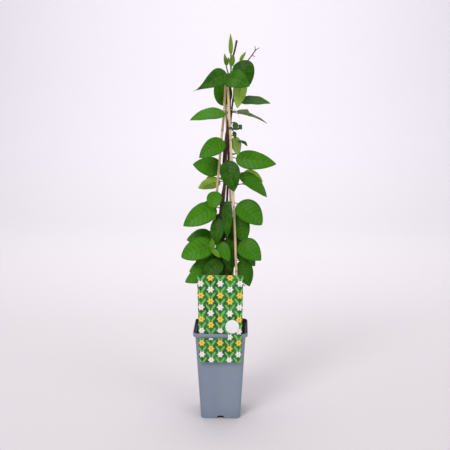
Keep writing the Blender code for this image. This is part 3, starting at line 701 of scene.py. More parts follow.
# stem, node height, foot, tip, width, lean, arch, twist, wave, tip's draw, tone; a low tone is
# partly painted shade
LEAVES = [
    ("vine_a", 668, (13, -14, 667), (-50, -28, 636), 36, 66, 0.08, -40, 0.6, 1.8, 0.22),
    ("vine_a", 656, (10, -20, 659), (54, -36, 645), 40, 62, 0.18, 0, 0.5, 0.85, 0.26),
    ("vine_a", 597, (9, -11, 594), (-57, -20, 583), 34, 38, 0.08, 0, 0.5, 0.85, 0.45),
    ("vine_a", 543, (7, -11, 543), (-40, -24, 513), 35, 66, 0.1, 0, 0.6, 0.85, 0.42),
    ("vine_a", 511, (13, -20, 507), (26, -32, 450), 38, 80, 0.1, 0, 0.6, 0.85, 0.12),
    ("vine_a", 432, (-9, -13, 448), (-14, -32, 419), 29, 48, 0.1, 0, 0.2, 0.5, 0.5),
    ("vine_a", 414, (-9, -12, 417), (-71, -24, 383), 42, 66, 0.08, 0, 0.6, 0.85, 0.5),
    ("vine_a", 400, (-4, -16, 396), (-9, -27, 346), 27, 74, 0.08, 12, 0.5, 0.85, 0.14),
    ("vine_a", 350, (-3, -22, 351), (17, -36, 317), 26, 68, 0.08, 0, 0.4, 0.85, 0.4),
    ("vine_a", 345, (-13, -17, 347), (-75, -30, 323), 44, 62, 0.08, 0, 0.6, 0.7, 0.52),
    ("vine_a", 330, (-18, -12, 330), (-48, -20, 300), 30, 64, 0.06, 0, 0.5, 0.85, 0.3),
    ("vine_a", 318, (1, -22, 314), (-36, -36, 281), 34, 66, 0.08, 0, 0.5, 0.85, 0.15),
    ("vine_a", 312, (-26, -13, 312), (-61, -19, 291), 20, 60, 0.05, 0, 0.4, 0.85, 0.65),
    ("vine_a", 288, (-22, -20, 292), (-68, -34, 275), 31, 60, 0.08, 0, 0.5, 0.85, 0.5),
    ("vine_a", 337, (-16, -34, 341), (-15, -38, 361), 12, 80, 0.06, 0, 0.2, 0.85, 0.8),
    ("vine_a", 337, (-15.6, -34, 340), (0, -42, 325), 11, 60, 0.06, 0, 0.2, 0.85, 0.8),
    ("vine_a", 703, (19, -1, 704), (18, -5, 741), 8, 80, 0.05, 30, 0.2, 0.85, 1.0),
    ("vine_a", 703, (19.4, -0.6, 704), (21, 2, 731), 6, -70, 0.05, 0, 0.2, 0.85, 1.0),
    ("vine_a", 682, (20, -5, 682), (23, -11, 703), 11, 70, 0.06, 0, 0.3, 0.6, 0.8),
    ("vine_b", 688, (34, -2, 691), (55, -5, 648), 42, 80, 0.08, 0, 0.6, 0.85, 0.12),
    ("vine_b", 690, (36.8, 2, 691.5), (47, 3, 709), 6, 60, 0.05, 0, 0.2, 0.85, 0.95),
    ("vine_b", 690, (36.6, 2.2, 691), (40, 6, 704), 5, -60, 0.05, 0, 0.2, 0.85, 0.95),
    ("vine_b", 650, (40, -8, 661), (31, -13, 605), 26, -84, 0.05, 0, 0.5, 0.85, 0.65),
    ("vine_b", 618, (36, -2, 618), (93, -12, 614), 28, 36, 0.05, 0, 0.8, 0.85, 0.15),
    ("vine_b", 597, (30, -5, 596), (87, -14, 577), 28, -14, 0.06, 0, 0.6, 0.95, 0.3),
    ("vine_b", 576, (27, -12, 579), (29, -16, 564), 11, 84, 0.04, 0, 0.3, 0.7, 0.12),
    ("vine_b", 565, (25, -3, 561), (28, -7, 549), 8, 80, 0.05, 0, 0.3, 0.85, 0.12),
    ("vine_b", 553, (27, -6, 552), (33, -11, 516), 19, -84, 0.06, 0, 0.5, 0.85, 0.5),
    ("vine_b", 541, (31, -4, 543), (50, -20, 535), 11, 12, 0.14, 0, 0.4, 0.6, 0.15),
    ("vine_b", 512, (29, -8, 511), (105, -20, 501), 36, 78, 0.07, 0, 0.5, 0.85, 0.45),
    ("vine_b", 481, (37, -6, 481), (88, -18, 438), 32, 40, 0.08, 0, 0.5, 0.9, 0.35),
    ("vine_b", 475, (44, 5, 483), (81, 14, 463), 24, -60, 0.06, 0, 0.5, 0.85, 0.75),
    ("vine_b", 427, (32.5, -8, 424), (79, -21, 385), 46, 56, 0.14, 0, 0.5, 0.75, 0.4),
    ("vine_b", 428, (12.5, -16, 431), (13, -28, 361), 21, 78, 0.06, 0, 0.5, 0.85, 0.16),
    ("vine_b", 404, (33, -2, 404), (46, -5, 346), 36, 86, 0.05, 0, 0.5, 0.85, 0.3),
    # the next three steep, dark leaves hang in the shaded middle; their low tone is painted shade
    ("vine_b", 385, (24, 8, 384), (32, 9, 318), 34, 86, 0.03, 0, 0.4, 0.85, 0.12),
    ("vine_c", 330, (8, 8, 326), (9, 7, 258), 34, 88, 0.02, 0, 0.4, 0.85, 0.12),
    ("vine_b", 358, (13, -8, 356), (20, -8, 288), 32, 88, 0.02, 0, 0.5, 0.85, 0.18),
    ("vine_b", 350, (37, -6, 348), (78, -23, 316), 42, 64, 0.1, 0, 0.5, 0.85, 0.4),
    ("vine_b", 333, (33, 4, 333), (67, 4, 299), 32, 64, 0.08, 0, 0.5, 0.85, 0.32),
    ("vine_b", 308, (40, -4, 312), (56, -9, 261), 33, 78, 0.06, 0, 0.5, 0.85, 0.25),
    ("vine_c", 690, (10.6, 9.3, 684), (7, 5, 706), 7, 70, 0.05, 0, 0.2, 0.85, 0.97),
    ("vine_c", 690, (10.6, 9.3, 684), (15, 6, 699), 6, 60, 0.05, 0, 0.2, 0.85, 0.9),
    ("vine_c", 607, (7, 14, 609), (0, 18, 668), 35, 86, 0.04, 0, 0.4, 0.7, 0.4),
    ("vine_c", 496, (1, 11, 489), (-54, 7, 498), 38, 74, 0.06, 0, 0.5, 0.85, 0.4),
    ("vine_c", 464, (-1, 8, 465), (-44, 6, 452), 28, -62, 0.06, 0, 0.6, 0.85, 0.75),
    # this leaf and the one at height 342 hang in the shaded middle; their low tone is painted shade
    ("vine_c", 404, (-1, 12, 402), (-4, 12, 334), 32, 88, 0.02, 0, 0.4, 0.85, 0.1),
    ("vine_c", 352, (-17, 8, 357), (-67, 5, 350), 34, 60, 0.08, 0, 0.6, 0.85, 0.35),
    ("vine_c", 342, (-3, 3, 340), (-4, 2, 282), 26, 88, 0.02, 0, 0.4, 0.85, 0.12),
    ("vine_c", 640, (20, 17, 652), (46, 56, 645), 30, -10, 0.1, 0, 0.6, 0.85, 0.45),
    ("vine_c", 645, (9, 18, 655), (-18, 58, 646), 30, -10, 0.1, 0, 0.6, 0.85, 0.42),
    ("vine_c", 593, (22, 16, 597), (54, 50, 592), 32, -10, 0.08, 0, 0.6, 0.85, 0.4),
    ("vine_c", 588, (14, 15, 595), (-14, 57, 591), 30, -12, 0.08, 0, 0.6, 0.85, 0.42),
    ("vine_b", 520, (22, 10, 516), (50, 48, 508), 31, -12, 0.1, 0, 0.6, 0.85, 0.35),
    ("vine_c", 522, (0, 13, 524), (-34, 46, 518), 32, -15, 0.08, 0, 0.6, 0.85, 0.4),
    ("vine_c", 470, (1, 15, 468), (-28, 52, 460), 32, -15, 0.1, 0, 0.6, 0.85, 0.35),
    ("vine_b", 454, (25, 6, 456), (60, 42, 450), 34, -12, 0.1, 0, 0.6, 0.85, 0.4),
    ("vine_c", 419, (-6, 18, 418), (-30, 58, 408), 34, -18, 0.1, 0, 0.6, 0.85, 0.35),
    ("vine_b", 402, (29.5, 5.5, 400), (60, 40, 392), 33, -15, 0.1, 0, 0.6, 0.85, 0.4),
    ("vine_c", 366, (-10, 19, 362), (-42, 50, 353), 32, -15, 0.1, 0, 0.6, 0.85, 0.3),
    ("vine_c", 352, (3, 22, 354), (20, 62, 344), 32, -20, 0.1, 0, 0.6, 0.85, 0.35),
    ("vine_b", 320, (30, 6, 322), (60, 38, 314), 32, -15, 0.1, 0, 0.6, 0.85, 0.3),
    ("vine_c", 304, (-8, 22, 308), (-34, 56, 298), 32, -20, 0.1, 0, 0.6, 0.85, 0.3),
    ("vine_c", 266, (17, 5, 268), (48, 5, 258), 25, -20, 0.1, 0, 0.6, 0.85, 0.35),
    ("vine_c", 262, (-10, 17, 262), (-40, 40, 250), 30, -25, 0.1, 0, 0.6, 0.85, 0.3),
]
print(len(LEAVES), "leaves on", len(STEMS), "stems")

# %% Paths of stems, stalks and midribs
# heights of the nodes whose leaves sit on the stem without a stalk
NO_STALK = (337, 703, 690)
STEM_TAPER = 3
SHOOT_FROM = 610
SHOOT_OVER = 110


def stem_point(name, height):
    points = STEMS[name][0]
    path = smooth_path([vec(p) for p in points], 4)
    height *= MM
    for low, high in zip(path, path[1:]):
        if low.z <= height <= high.z:
            return low.lerp(high, (height - low.z) / (high.z - low.z))
    return path[-1].copy()


def stem_path(name):
    """Stem with a swelling at each leaf node, its age rising from wood to shoot."""
    points, foot, tip = STEMS[name]
    heights = [leaf[1] for leaf in LEAVES if leaf[0] == name]
    path = []
    smooth = smooth_path([vec(p) for p in points], 16)
    for k, place in enumerate(smooth):
        share = k / (len(smooth) - 1)
        off = min(abs(place.z / MM - h) for h in heights)
        swell = 0.35 * math.exp(-(off / 3.0) ** 2)
        path.append((place, (blend(foot, tip, share ** STEM_TAPER) + swell) * MM,
                     max(0.0, (place.z / MM - SHOOT_FROM) / SHOOT_OVER)))
    return path


def twig_path(twig):
    _, points, foot, tip, young, old = twig
    smooth = smooth_path([vec(p) for p in points], 8)
    last = len(smooth) - 1
    return [(place, blend(foot, tip, k / last) * MM, blend(young, old, k / last))
            for k, place in enumerate(smooth)]


def leaf_frame(foot, tip, lean):
    """Foot, direction, length and face direction of a blade."""
    foot, tip = vec(foot), vec(tip)
    axis = (tip - foot).normalized()
    angle = math.radians(lean)
    face = Vector((0, -math.sin(angle), math.cos(angle)))
    face = (face - axis * face.dot(axis)).normalized()
    return foot, axis, (tip - foot).length, face


def blade_middle(foot, axis, length, face, arch, twist, t):
    turned = Matrix.Rotation(math.radians(twist) * t * t, 3, axis) @ face
    return foot + axis * length * t + turned * arch * length * 4 * t * (1 - t), turned


def stalk_path(leaf):
    """Stalk from stem to blade, running on as the raised rib under it."""
    name, height, foot, tip, _, lean, arch, twist, _, _, tone_and_shade = leaf
    foot, axis, length, face = leaf_frame(foot, tip, lean)
    # the stalk's age follows the leaf's tone, so painted shade in a low tone also browns the stalk
    age = 0.25 + 0.6 * tone_and_shade
    path = []
    if height not in NO_STALK:
        start = stem_point(name, height)
        middle = start.lerp(foot, 0.6) + Vector((0, 0, 0.8 * MM))
        for k, place in enumerate(smooth_path([start, middle, foot], 5)[:-1]):
            path.append((place, blend(1.05, 0.8, k / 10) * MM, age))
    small = min(1.0, length / 0.04)
    for k in range(13):
        t = 0.02 + 0.86 * k / 12
        place, turned = blade_middle(foot, axis, length, face, arch, twist, t)
        path.append((place - turned * 0.45 * MM, blend(0.78, 0.22, k / 12) * small * MM, age))
    return path


print("points along each stem:", {name: len(stem_path(name)) for name in STEMS})

# %% Bark, and the stems in it


def stem_finish():
    finish = Finish("vine bark to shoot", 0.55, 0.4)
    fibre = finish.noise(85, 4, stretch=(5, 5, 0.5))
    age = finish.attribute("age")["Fac"]
    bark = finish.mix(finish.band(fibre, 0.35, 0.65), (0.022, 0.009, 0.008), (0.135, 0.045, 0.024))
    shoot = finish.mix(finish.band(fibre, 0.3, 0.7), (0.09, 0.13, 0.02), (0.17, 0.24, 0.04))
    finish.colour(finish.mix(finish.band(age, 0.25, 0.75), bark, shoot))
    finish.bump(fibre, 0.0003, 0.6)
    return finish.material


STEM_FINISH = stem_finish()
for name in STEMS:
    paths = [stem_path(name)]
    paths += [twig_path(twig) for twig in TWIGS if twig[0] == name]
    paths += [stalk_path(leaf) for leaf in LEAVES if leaf[0] == name]
    stems = skin_paths(name + "_stems", paths, STEM_FINISH, 8)
    dress(stems, "leaves", name)

# %% [markdown]
# A honeysuckle leaf is a soft oval with a rounded foot and a drawn-out tip. It folds a
# little along the midrib, arches, waves at the edge, and is quilted between its side
# veins. Each blade is a grid, bent by the same rule as its solid, with an upper and a
# lower face and a closed edge. Three attributes ride along for the finish: how far along
# the blade a point lies, how far across, and the leaf's tone, whose low values are partly
# painted shade.

# %% Leaf blades
ALONG_STEPS = 30
ACROSS_STEPS = 12
BLADE = 0.7
FOOT_ROUND = 0.5
FOLD = 0.16
RIPPLES = 4.4
VEIN_STEPS = 7.5
VEIN_SWEEP = 0.17
VEIN_CURVE = 1.3
QUILT_DEPTH = 0.32
RIB_DEPTH = 0.35


def leaf_outline(t, point):
    """Share of the half width at a share of the length."""
    widest = FOOT_ROUND / (FOOT_ROUND + point)
    return (t / widest) ** FOOT_ROUND * (max(1 - t, 0) / (1 - widest)) ** point


def quilt(t, v):
    """Depth of the nearest side vein's groove, from 0 to 1."""
    start = (t - VEIN_SWEEP * abs(v) ** VEIN_CURVE) * VEIN_STEPS
    groove = math.exp(-((start - round(start)) / 0.16) ** 2)
    return groove * min(1.0, 6 * (1 - abs(v))) * (1.0 if 0.06 < t < 0.93 else 0.0)


def blade_grid(leaf):
    """Upper and lower points of a blade, row by row, with their attributes."""
    _, _, foot, tip, width, lean, arch, twist, wave, point, tone_and_shade = leaf
    foot, axis, length, face = leaf_frame(foot, tip, lean)
    rows = []
    for i in range(ALONG_STEPS + 1):
        t = i / ALONG_STEPS
        t = 0.5 * t + 0.5 * (1 - math.cos(math.pi * t)) / 2
        middle, turned = blade_middle(foot, axis, length, face, arch, twist, t)
        side = axis.cross(turned)
        half = max(0.5 * width * leaf_outline(t, point), 0.5 if t < 0.5 else 0.25) * MM
        ripple = wave * MM * math.sin(math.pi * t)
        ripple *= math.sin(RIPPLES * math.pi * t + length * 200)
        row = []
        for j in range(ACROSS_STEPS + 1):
            v = -1 + 2 * j / ACROSS_STEPS
            fold = FOLD * half * (math.sqrt(v * v + 0.02) - 0.14)
            lift = fold - v * abs(v) * ripple
            lift -= QUILT_DEPTH * MM * quilt(t, v) * min(1.0, width / 25)
            lift -= RIB_DEPTH * MM * math.exp(-(v / 0.09) ** 2)
            row.append((middle + side * half * v + turned * lift, turned, t, v, tone_and_shade))
        rows.append(row)
    return rows


print("each side of a blade has", (ALONG_STEPS + 1) * (ACROSS_STEPS + 1), "points")

# %% The mesh of the blades


def blade_mesh(leaves):
    """Vertices, faces, face finishes and attributes of all these blades."""
    verts, faces, slots, along, across, tones_and_shades = [], [], [], [], [], []
    columns = ACROSS_STEPS + 1
    for leaf in leaves:
        rows = blade_grid(leaf)
        first = len(verts)
        for flip in (1, -1):
            for row in rows:
                for place, turned, t, v, tone_and_shade in row:
                    thin = BLADE * (0.6 if abs(v) > 0.99 else 1.0)
                    verts.append(place + turned * flip * thin * MM / 2)
                    along.append(t)
                    across.append(v)
                    tones_and_shades.append(tone_and_shade)
        layer = len(rows) * columns
        for i in range(len(rows) - 1):
            for j in range(columns - 1):
                a = first + i * columns + j
                faces.append((a, a + 1, a + columns + 1, a + columns))
                slots.append(0)
                b = a + layer
                faces.append((b, b + columns, b + columns + 1, b + 1))
                slots.append(1)
        edge = [first + i * columns for i in range(len(rows))]
        edge += [first + (len(rows) - 1) * columns + j for j in range(1, columns)]
        edge += [first + i * columns + columns - 1 for i in range(len(rows) - 2, -1, -1)]
        edge += [first + j for j in range(columns - 2, 0, -1)]
        for k, a in enumerate(edge):
            b = edge[(k + 1) % len(edge)]
            faces.append((a, b, b + layer, a + layer))
            slots.append(0)
    return verts, faces, slots, (along, across, tones_and_shades)


print("one blade has", len(blade_mesh(LEAVES[:1])[1]), "faces")

# %% The leaf finish and the foliage


def leaf_finish(name, under):
    """Green blade: pale midrib, side veins darkened as painted shade on top and tinted below,
    mottle, dark patches of painted shade, a darker edge, brown-edged rim.
    """
    finish = Finish(name, 0.5, 0.14)
    along = finish.attribute("along")["Fac"]
    across = finish.math("ABSOLUTE", finish.attribute("across")["Fac"])
    tone_and_shade = finish.attribute("tone_and_shade")["Fac"]
    mottle = finish.noise(95, 5, rough=0.6)
    patch = finish.noise(24, 2)
    if under:
        body = finish.mix(finish.band(tone_and_shade, 0.3, 0.8), (0.14, 0.24, 0.07), (0.36, 0.60, 0.05))
        vein_tint_and_shade, rib_colour = (0.24, 0.34, 0.12), (0.30, 0.40, 0.14)
    else:
        # a low tone gives a very dark green, partly the leaf's own colour and partly painted shade
        deep = finish.mix(finish.band(tone_and_shade, 0.1, 0.55),
                          (0.016, 0.080, 0.002), (0.052, 0.225, 0.002))
        body = finish.mix(finish.band(tone_and_shade, 0.6, 1.0), deep, (0.22, 0.36, 0.03))
        # on the upper face the side veins take this dark green as painted shade in their grooves
        vein_tint_and_shade, rib_colour = (0.016, 0.085, 0.002), (0.10, 0.30, 0.02)
    body = finish.mix(finish.band(mottle, 0.3, 0.75, 0.0, 0.35), body,
                      (0.20, 0.29, 0.10) if under else (0.075, 0.26, 0.003))
    # painted shade: large dark patches over the blade
    body = finish.mix(finish.band(patch, 0.5, 0.75, 0.0, 0.3), body,
                      (0.11, 0.17, 0.06) if under else (0.008, 0.055, 0.002))
    swept = finish.math("SUBTRACT", along, finish.times(
        finish.math("POWER", across, VEIN_CURVE), VEIN_SWEEP))
    phase = finish.times(swept, VEIN_STEPS)
    off = finish.math("ABSOLUTE", finish.math("SUBTRACT", phase, finish.math("ROUND", phase)))
    vein = finish.times(finish.band(off, 0.09, 0.02), finish.band(across, 0.95, 0.7))
    rib = finish.band(across, 0.05, 0.01)
    # side veins: painted shade in the grooves on the upper face, the veins' own tint on the under
    # face
    body = finish.mix(finish.times(vein, 0.24), body, vein_tint_and_shade)
    body = finish.mix(finish.band(across, 0.72, 1.0, 0.0, 0.45), body, vein_tint_and_shade)
    body = finish.mix(finish.times(rib, 0.45), body, rib_colour)
    rim = finish.times(finish.band(across, 0.955, 1.0), finish.band(patch, 0.35, 0.6))
    tip = finish.band(along, 0.955, 1.0)
    brown = finish.math("MAXIMUM", finish.times(rim, 0.45),
                        finish.times(tip, 0.6))
    finish.colour(finish.mix(brown, body, (0.10, 0.055, 0.02)))
    low, high = (0.55, 0.7) if under else (0.36, 0.52)
    finish.roughness(finish.band(mottle, 0.2, 0.8, low, high))
    relief = finish.math("SUBTRACT", finish.times(mottle, 0.4),
                         finish.times(vein, -0.8 if under else 0.8))
    finish.bump(relief, 0.0008, 0.8)
    finish.shader.inputs["Subsurface Weight"].default_value = 0.12
    finish.shader.inputs["Subsurface Radius"].default_value = (0.4, 1.0, 0.1)
    finish.shader.inputs["Subsurface Scale"].default_value = 0.002
    return finish.material


LEAF_TOP = leaf_finish("leaf upper face", False)
LEAF_UNDER = leaf_finish("leaf under face", True)
for name in STEMS:
    verts, faces, slots, values = blade_mesh([leaf for leaf in LEAVES if leaf[0] == name])
    mesh = bpy.data.meshes.new(name + "_leaves")
    mesh.from_pydata([tuple(v) for v in verts], [], faces)
    mesh.shade_smooth()
    mesh.materials.append(LEAF_TOP)
    mesh.materials.append(LEAF_UNDER)
    mesh.polygons.foreach_set("material_index", slots)
    for label, column in zip(("along", "across", "tone_and_shade"), values):
        point_values(mesh, label, column)
    dress(placed(name + "_leaves", mesh), "leaves", name)

# %% [markdown]
# A thread of two twisted strands holds canes and stems together near the top, with a
# loose tail. The ring is a closed path, and each strand winds round it at a small
# distance, so light catches the twist as it does on real string.

# %% The thread
TIE_HEIGHT = 602.0
TIE_RING = [(2.7, 1.6), (4.2, -1.6), (8, -2.9), (13, -2.8), (18, -2.4), (23, -0.6), (26.4, 2.2),
            (26.6, 5.4), (23, 9.2), (18, 11.8), (12.5, 13), (8, 12.4), (5, 9.6), (3.2, 5.6)]
TIE_TAIL = [(26, 2, 602), (28.5, -3, 600), (30, -10, 597), (33, -13, 592), (36, -14, 587)]
STRAND_TURN = 2.2
STRAND_SHIFT = 0.26
STRAND_RADIUS = 0.34


def strand(points, start):
    """One strand winding round a path."""
    path, travelled = [], 0.0
    for k, place in enumerate(points):
        ahead = points[min(k + 1, len(points) - 1)] - points[max(k - 1, 0)]
        if k:
            travelled += (place - points[k - 1]).length / MM
        side = ahead.cross(Vector((0, 0, 1))).normalized()
        up = side.cross(ahead).normalized()
        angle = start + 2 * math.pi * travelled / STRAND_TURN
        shift = (side * math.cos(angle) + up * math.sin(angle)) * STRAND_SHIFT * MM
        path.append((place + shift, STRAND_RADIUS * MM, 0.0))
    return path


def thread_finish():
    finish = Finish("white thread", 0.85, 0.2)
    finish.colour(finish.mix(finish.noise(900, 2), (0.62, 0.61, 0.56), (0.86, 0.85, 0.8)))
    return finish.material


ring = [vec((x, y, TIE_HEIGHT)) for x, y in TIE_RING]
ring_path = smooth_path(ring + [ring[0]], 16)
tail_path = smooth_path([vec(p) for p in TIE_TAIL], 24)
thread = skin_paths("tie_thread", [strand(path, start) for path in (ring_path, tail_path)
                                   for start in (0, math.pi)], thread_finish(), 6)
dress(thread, "tie", "tie")

# %% [markdown]
# A small dark plastic clip grips one cane: an open ring, a short bar and a tab. The
# solids already have its shape, so the finish goes on a bevelled copy whose edges are
# rounded as a moulding's are.

# %% The clip


def clip_finish():
    finish = Finish("dark clip plastic", 0.4, 0.5)
    finish.colour(finish.mix(finish.noise(300, 3), (0.02, 0.045, 0.045), (0.05, 0.09, 0.09)))
    finish.bump(finish.noise(700, 2), 0.0001, 0.4)
    return finish.material


def rounded_copy(node, name, width):
    """A node's mesh, merged, with its edges rounded."""
    mesh = frame["nodes"][node].data.copy()
    work = bmesh.new()
    work.from_mesh(mesh)
    bmesh.ops.remove_doubles(work, verts=work.verts, dist=0.00001)
    bmesh.ops.dissolve_limit(work, angle_limit=math.radians(2), verts=work.verts, edges=work.edges)
    work.to_mesh(mesh)
    work.free()
    mesh.materials.clear()
    piece = placed(name, mesh)
    bevel = piece.modifiers.new("edges", "BEVEL")
    bevel.width = width * MM
    bevel.segments = 3
    bevel.limit_method = "ANGLE"
    plain_mesh(piece)
    piece.data.shade_smooth()
    piece.data.set_sharp_from_angle(angle=math.radians(50))
    return piece


clip = rounded_copy("clip", "cane_clip", 0.35)
dress(clip, "clip", "clip", finish=clip_finish())

# %% [markdown]
# The card hangs on the rim by a slit: below it lies in front of the pot, above it stands
# behind the rim, and at the right it bridges over. It is a fine grid, so its print can be
# painted corner by corner. The print is a plain repeat: round six-petalled blossoms, white
# and yellow in turn, in half-drop columns, with a pair of oval leaves between them.

# %% The card
CARD_COLUMNS = (-44, -33, -22, -14, -6, 1, 8, 16, 26, 35, 44)
CARD_ROWS = (122, 139, 156, 170, 179.4, 192, 206, 225, 258, 292)
CARD_FRONT = -54.6
CARD_BEHIND = -50.0
CARD_BACK_TOP = -46.5
CARD_FOOT_SHARE = 0.91
CARD_SHEET = 0.7
CARD_BACK = (0.80, 0.82, 0.78)
SOLID_SHEET = 0.8
GAP = 0.4
BRIDGE_ROWS = {4: 1.0, 5: 1.0, 6: 1.0, 7: 0.25}
LEDGE_FOOT = 172.4
SLIT_FOOT = 170.0
SLIT_TOP = 179.4
SLIT_END_X = 16.0
TUCK_END_X = -6.0
PRINT_STEP = 0.7
CROWDING = 0.4


def step_between(values, at):
    """Which gap of a rising list a value is in, and how far along it."""
    k = 0
    while k < len(values) - 2 and at > values[k + 1]:
        k += 1
    return k, (at - values[k]) / (values[k + 1] - values[k])


def card_depth(x, z):
    """Depth of the card in mm: in front below the slit, behind above it."""
    if z <= SLIT_FOOT:
        return CARD_FRONT

    def corner(column, row):
        if row <= 3:
            return CARD_FRONT
        forward = min(max((column - 4) / 2, 0), 1)
        forward *= BRIDGE_ROWS.get(row, 0.0)
        back = blend(CARD_BEHIND, CARD_BACK_TOP, max(row - 6, 0) / 3)
        return blend(back, CARD_FRONT, forward)

    column, s = step_between(CARD_COLUMNS, x)
    row, t = step_between(CARD_ROWS, z)
    if row == 3 and x < SLIT_END_X:
        return CARD_BEHIND if x < TUCK_END_X else corner(column, 4)
    s, t = (3 * s * s - 2 * s ** 3), (3 * t * t - 2 * t ** 3)
    low = blend(corner(column, row), corner(column + 1, row), s)
    high = blend(corner(column, row + 1), corner(column + 1, row + 1), s)
    return blend(low, high, t)


print("card depth in mm at its foot and top:", card_depth(0, CARD_ROWS[0]),
      card_depth(0, CARD_ROWS[-1]))

# %% The card's print
# a half-drop repeat: spacing of its columns and rows, then blossom and leaf, in mm
REPEAT_WIDE = 19.0
REPEAT_HIGH = 23.0
BLOSSOM = 7.2
PETALS = 6
SPRIG = 6.5
SPRIG_OFF = 5.2
SPRIG_TURN = 0.9
SOFT_EDGE = 0.6
GROUND_DARK = (0.006, 0.05, 0.014)
GROUND_LIGHT = (0.02, 0.22, 0.045)
SPRIG_DARK = (0.03, 0.26, 0.03)
SPRIG_LIGHT = (0.20, 0.60, 0.08)
BLOSSOM_COLOURS = ((0.95, 0.95, 0.91), (0.96, 0.70, 0.05))
EYE_COLOURS = ((0.90, 0.72, 0.10), (0.62, 0.30, 0.03))


def mixed(a, b, share):
    share = min(max(share, 0.0), 1.0)
    return tuple(blend(p, q, share) for p, q in zip(a, b))


def blossom_paint(colour, dx, dz, kind):
    """Paints one round open blossom over a colour, at a place seen from its middle."""
    far = math.hypot(dx, dz)
    edge = BLOSSOM * (0.82 + 0.18 * math.cos(PETALS * math.atan2(dz, dx)))
    petal = BLOSSOM_COLOURS[kind]
    petal = mixed(petal, tuple(0.55 * c for c in petal), (far / edge) ** 4)
    colour = mixed(colour, petal, (edge - far) / SOFT_EDGE + 0.5)
    return mixed(colour, EYE_COLOURS[kind], (0.26 * BLOSSOM - far) / SOFT_EDGE + 0.5)


def sprig_paint(colour, dx, dz, turn):
    """Paints one oval leaf over a colour, at a place seen from its middle."""
    a = (dx * math.cos(turn) + dz * math.sin(turn)) / SPRIG
    b = (-dx * math.sin(turn) + dz * math.cos(turn)) / (0.42 * SPRIG)
    leaf = mixed(SPRIG_LIGHT, SPRIG_DARK, abs(b))
    return mixed(colour, leaf, (1 - math.hypot(a, b)) * 4 + 0.5)


def print_paint(x, z):
    """Colour of the print at a place in mm: blossoms between pairs of oval leaves."""
    cloud = noise.noise(Vector((x, z, 0)) * 0.06)
    colour = mixed(GROUND_DARK, GROUND_LIGHT, 0.5 + cloud)
    middle = round(x / REPEAT_WIDE)
    places = []
    for column in (middle - 1, middle, middle + 1):
        drop = 0.5 * (column % 2)
        row = round(z / REPEAT_HIGH - drop)
        places += [(column, k, column * REPEAT_WIDE, (k + drop) * REPEAT_HIGH)
                   for k in (row - 1, row, row + 1)]
    for _, _, cx, cz in places:
        for side in (-1, 1):
            colour = sprig_paint(colour, x - cx - side * SPRIG_OFF,
                                 z - cz - REPEAT_HIGH / 2, side * SPRIG_TURN)
    for column, row, cx, cz in places:
        colour = blossom_paint(colour, x - cx, z - cz, (column + row) % 2)
    return colour


print("blossoms stand", REPEAT_WIDE, "by", REPEAT_HIGH, "mm apart")

# %% The card's sheet


def with_marks(values, marks):
    """Values with the marks put among them, less any that crowd a mark."""
    clear = {v for v in values if all(abs(v - mark) > CROWDING for mark in marks)}
    return sorted(clear | set(marks))


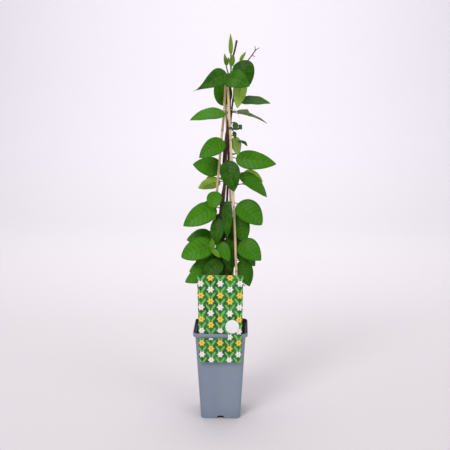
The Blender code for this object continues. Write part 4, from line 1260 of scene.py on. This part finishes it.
def make_card():
    """Front and back sheets with a closed edge, tucked behind the rim at the left."""
    foot, top, half = CARD_ROWS[0], CARD_ROWS[-1], CARD_COLUMNS[-1]
    steps = int((top - foot) / PRINT_STEP)
    rows = with_marks([round(foot + PRINT_STEP * k, 3) for k in range(steps + 1)],
                      (SLIT_FOOT, LEDGE_FOOT, SLIT_TOP, float(top)))
    count = int(2 * half / PRINT_STEP)
    columns = with_marks([-half + 2 * half * k / count for k in range(count + 1)],
                         (SLIT_END_X, TUCK_END_X))
    verts, colours, index = [], [], {}

    def corner(i, j, upper):
        key = (i, j, upper)
        if key not in index:
            x, z = columns[i], rows[j]
            share = (z - foot) / (top - foot)
            y = CARD_BEHIND if upper and z <= SLIT_TOP and x <= TUCK_END_X else card_depth(x, z)
            index[key] = len(verts) // 2
            wide = x * blend(CARD_FOOT_SHARE, 1.0, share)
            paint = print_paint(x, z)
            for side in (-1, 1):
                verts.append(vec((wide, y + side * CARD_SHEET / 2, z)))
                colours.append((*(paint if side < 0 else CARD_BACK), 1.0))
        return index[key]

    faces, rims = [], {}
    for j in range(len(rows) - 1):
        inside = rows[j] >= SLIT_FOOT and rows[j + 1] <= SLIT_TOP
        for i in range(len(columns) - 1):
            left = columns[i + 1] <= SLIT_END_X
            tucked = columns[i + 1] <= TUCK_END_X
            if inside and left and not (tucked and rows[j] >= LEDGE_FOOT):
                continue
            upper = inside and left
            above = upper and rows[j + 1] < SLIT_TOP
            a, b = corner(i, j, upper), corner(i + 1, j, upper)
            c, d = corner(i + 1, j + 1, above), corner(i, j + 1, above)
            faces.append((2 * a, 2 * b, 2 * c, 2 * d))
            faces.append((2 * a + 1, 2 * d + 1, 2 * c + 1, 2 * b + 1))
            for edge in ((a, b), (b, c), (c, d), (d, a)):
                rims.setdefault(frozenset(edge), []).append(edge)
    for edges in rims.values():
        if len(edges) == 1:
            a, b = edges[0]
            faces.append((2 * b, 2 * a, 2 * a + 1, 2 * b + 1))
    card = mesh_object("picture_card", verts, faces)
    paint = card.data.color_attributes.new("print", "FLOAT_COLOR", "POINT")
    for k, colour in enumerate(colours):
        paint.data[k].color = colour
    card.data.set_sharp_from_angle(angle=math.radians(40))
    return card


card = make_card()
print("the card has", len(card.data.vertices), "points to paint")

# %% The card's finish


def card_finish():
    finish = Finish("printed plastic card", 0.3, 0.5)
    finish.colour(finish.attribute("print")["Color"])
    finish.roughness(finish.band(finish.noise(60, 3), 0.3, 0.7, 0.26, 0.4))
    finish.bump(finish.noise(30, 2), 0.0006, 0.25)
    return finish.material


dress(card, "label", "label", finish=card_finish())

# %% [markdown]
# A round white paper sticker sits on the card, left blank. Its disc has a softly rounded
# edge and a slightly raised middle, and its paper is faintly mottled.

# %% The sticker
STICKER_PLACE = (23.0, 193.5)
STICKER_RADIUS = 13.2
STICKER_THICKNESS = 0.7
STICKER_SIDES = 72


def make_sticker():
    front = CARD_FRONT - SOLID_SHEET / 2 - GAP - STICKER_THICKNESS
    back = front + STICKER_THICKNESS
    rows = [(0.3, back), (STICKER_RADIUS, back), (STICKER_RADIUS, front + 0.3),
            (STICKER_RADIUS - 0.15, front + 0.08), (STICKER_RADIUS - 0.5, front),
            (STICKER_RADIUS * 0.5, front), (0.3, front)]
    rings = [[vec((STICKER_PLACE[0] + r * math.cos(a), y, STICKER_PLACE[1] + r * math.sin(a)))
              for a in (2 * math.pi * s / STICKER_SIDES for s in range(STICKER_SIDES))]
             for r, y in rows]
    sticker = mesh_object("blank_sticker", *loft(rings))
    sticker.data.set_sharp_from_angle(angle=math.radians(40))
    return sticker


def paper_finish():
    finish = Finish("white sticker paper", 0.6, 0.35)
    fibre = finish.noise(260, 4)
    finish.colour(finish.mix(finish.band(fibre, 0.3, 0.7), (0.83, 0.83, 0.82), (0.91, 0.91, 0.90)))
    finish.bump(fibre, 0.00008, 0.4)
    return finish.material


sticker = make_sticker()
dress(sticker, "sticker", "sticker", finish=paper_finish())
